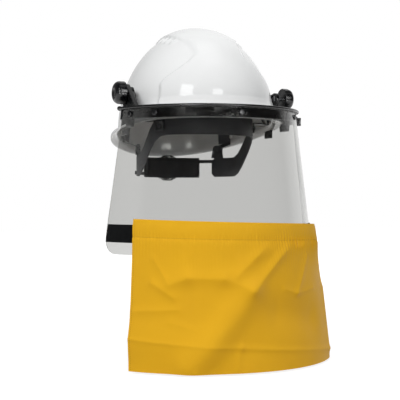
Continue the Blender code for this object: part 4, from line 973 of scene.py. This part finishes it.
knob_outline = [(0, 0), (0.0140, 0)] + arc((0.0153, 0.0012), 0.0012, -90, 0, 4)
knob_outline += [(0.0165, 0.0040), (0.0165, 0.0065)] + arc((0.0080, 0.0075), 0.0085, 0, 90, 14)
knob_outline += [(0.0065, 0.0160), (0.0058, 0.0154), (0, 0.0154)]
knob = turned("tension_knob", knob_outline, 120)
fluted(knob, 0.0165, 0.0006, 10, 0.0, 0.0153)
for name, side in (("left", 1), ("right", -1)):
    copy = bpy.data.objects.new("tension_knob_%s_grip" % name, knob.data.copy())
    scene.collection.objects.link(copy)
    away = Vector((side, 0, 0))
    copy.data.transform(seated(HINGE + away * 0.1269, away))
    dress(copy, black_nylon, 50)
    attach(copy, "tension_knob_" + name)
    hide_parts("tension_knob_" + name)
bpy.data.objects.remove(knob)

# Suspension keys and rivets: black nylon hooks that plug up into the shell's sockets and carry the headband,
# each held to it by a grey nylon rivet.
for corner in ("front_left", "front_right", "rear_left", "rear_right"):
    dress(rounded_copy("suspension_key_" + corner, 0.0004), black_nylon)
    dress(rounded_copy("hanger_rivet_" + corner, 0.0003), grey_nylon)

# Crown straps: two strips of woven polyester webbing, 20 mm wide, that cross over the head between the keys.
# Each strip gets a map of its length and width, so that the weave follows it over the crown.
# Webbing: mid grey, with a herringbone of 2.4 mm drawn so that it shows, and fuzz of about 0.7 mm.
grey_webbing, tree = new_material("grey webbing, woven polyester")
woven = add_node(tree, "SeparateXYZ", {0: add_node(tree, "UVMap", {}, uv_map="weave").outputs[0]})
rows = worked(tree, "PINGPONG", woven.outputs["Y"], 5.0)
slant = worked(tree, "ADD", woven.outputs["X"], rows)
ribs = worked(tree, "MULTIPLY", slant, 2 * math.pi / 2.4)
ribs = worked(tree, "SINE", ribs)
fuzz = noise(tree, add_node(tree, "TexCoord", {}).outputs["Object"], 1400.0, 2.0)
tone = mixed(tree, ribs, linear("4B4C50"), linear("6A6B70"))
tone = mixed(tree, fuzz, tone, linear("57585C"))
skin = bumped(tree, ribs, 0.5, 0.0002)
finish_material(tree, {"Base Color": tone, "Roughness": 0.85, "Sheen Weight": 0.1, "Normal": skin})
for layer, side in (("lower", 1), ("upper", -1)):
    strap = rounded_copy("crown_strap_" + layer, 0.0003)
    low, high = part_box("crown_strap_" + layer)
    middle = (low + high) / 2
    lengthwise = Vector((side * (high.x - low.x), -(high.y - low.y), 0)).normalized()
    sideways = Vector((-lengthwise.y, lengthwise.x, 0))
    weave = strap.data.uv_layers.new(name="weave")
    for corner in strap.data.loops:
        point = strap.data.vertices[corner.vertex_index].co
        reach = (point - middle).dot(lengthwise)
        turn = math.atan2(reach, point.z + 0.03)
        weave.data[corner.index].uv = (110 * turn, 1000 * (point - middle).dot(sideways) + 500)
    dress(strap, grey_webbing)

# Headband: a grey nylon strip moulded flat and bent round the head, with ears for the rear rivets.
dress(rounded_copy("headband", 0.0006), grey_nylon)

# Brow pad: a soft foam pad faced in perforated cloth, held inside the headband's front and stitched round.
HEAD_RADIUS = 0.080
BAND_LEVEL = -0.007


def round_brow(run, height, depth):
    """A point by its run round the brow, its height and its distance outside the headband's middle."""
    turn = run / HEAD_RADIUS
    reach = HEAD_RADIUS + depth
    fall = eased(0.085, 0.175, abs(run)) * 0.057
    return Vector((reach * math.sin(turn), -0.02 - reach * math.cos(turn), BAND_LEVEL - fall + height))


def pad_form(name, half_length, half_height, half_thickness, middle, lay):
    """A crowned pad with rounded corners and a stitched line inside its edge, laid on a curved band."""
    bpy.ops.object.select_all(action="DESELECT")
    bpy.ops.mesh.primitive_uv_sphere_add(segments=240, ring_count=56, radius=1)
    pad = bpy.context.object
    pad.name = name
    for point in pad.data.vertices:
        polar = math.acos(max(min(point.co.z, 1), -1))
        around = math.atan2(point.co.y, point.co.x)
        spread = min(polar, math.pi - polar) / (math.pi / 2)
        squared = (abs(math.cos(around)) ** 7 + abs(math.sin(around)) ** 7) ** (-1 / 7)
        run = half_length * spread * squared * math.cos(around)
        height = half_height * spread * squared * math.sin(around)
        crown = math.sqrt(max(1 - spread ** 8, 0.0)) * (0.82 + 0.18 * math.cos(spread * math.pi / 2))
        crown *= 1 - 0.30 * math.exp(-((spread - 0.80) / 0.035) ** 2)
        side = 1 if polar < math.pi / 2 else -1
        point.co = lay(run, height, middle - side * half_thickness * crown)
    edit_points(pad, lambda co: True)
    bpy.ops.mesh.normals_make_consistent(inside=False)
    end_edit()
    return pad


# Foam cloth: charcoal, matt and soft, pricked with holes 1.6 mm wide every 5 mm, which are painted near black
# as painted shade inside them.
foam_cloth, tree = new_material("charcoal foam cloth, knitted")
place = add_node(tree, "TexCoord", {}).outputs["Object"]
pricks = add_node(tree, "TexVoronoi", {"Vector": place, "Scale": 200.0, "Randomness": 0.15})
holes_with_painted_shade = worked(tree, "LESS_THAN", pricks.outputs["Distance"], 0.16)
knit = noise(tree, place, 1200.0, 3.0)
tone = mixed(tree, knit, linear("26272A"), linear("3A3B3F"))
# The holes are painted near black: painted shade inside them.
tone = mixed(tree, holes_with_painted_shade, tone, linear("0B0B0C"))
relief = worked(tree, "SUBTRACT", knit, holes_with_painted_shade)
skin = bumped(tree, relief, 0.5, 0.0004)
finish_material(tree, {"Base Color": tone, "Roughness": 0.92, "Sheen Weight": 0.15, "Normal": skin})
brow_pad = pad_form("brow_pad_cushion", 0.081, 0.015, 0.0020, -0.0033, round_brow)
dress(brow_pad, foam_cloth, 60)
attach(brow_pad, "shell")
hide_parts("brow_pad")

# Nape pad: the same foam cloth, on the inside of the size adjuster's case.


def round_nape(run, height, depth):
    """A point by its run round the nape, its height and its distance outside the headband's middle."""
    turn = run / HEAD_RADIUS
    reach = HEAD_RADIUS + depth
    return Vector((reach * math.sin(turn), 0.02 + reach * math.cos(turn), -0.064 + height))


nape_low, nape_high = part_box("nape_pad")
nape_pad = pad_form("nape_pad_cushion", 0.0485, (nape_high.z - nape_low.z) / 2, 0.0020,
                    nape_high.y - 0.022 - HEAD_RADIUS, round_nape)
dress(nape_pad, foam_cloth, 60)
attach(nape_pad, "shell")
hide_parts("nape_pad")

# Size adjuster: a grey nylon case holds two toothed racks, one from each end of the headband, with a pinion
# between them; a black cover closes it, and the knob on the pinion draws the band in or lets it out.
for node, edge in (("ratchet_case", 0.0005), ("rack_left", 0.0002), ("rack_right", 0.0002),
                   ("ratchet_pinion", 0.0002)):
    dress(rounded_copy(node, edge), grey_nylon)
dress(rounded_copy("ratchet_cover", 0.0006), black_nylon)
knob_outline = [(0, 0), (0.0192, 0)] + arc((0.0200, 0.0010), 0.0010, -90, 0, 4)
knob_outline += [(0.0210, 0.0060), (0.0210, 0.0105)] + arc((0.0170, 0.0110), 0.0040, 0, 90, 8)
knob_outline += [(0.0150, 0.0150), (0.0140, 0.0138), (0, 0.0138)]
ratchet_knob = turned("ratchet_knob_grip", knob_outline, 168)
fluted(ratchet_knob, 0.021, 0.0018, 14, 0.0, 0.0165)
away = Vector((0, 1, 0))
ratchet_knob.data.transform(seated((0, 0.1065, -0.064), away, "X"))
dress(ratchet_knob, black_nylon, 50)
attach(ratchet_knob, "ratchet_knob")
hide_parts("ratchet_knob")

# The size of the dressed model is measured, as the CAD model's was before dressing.
low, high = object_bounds()
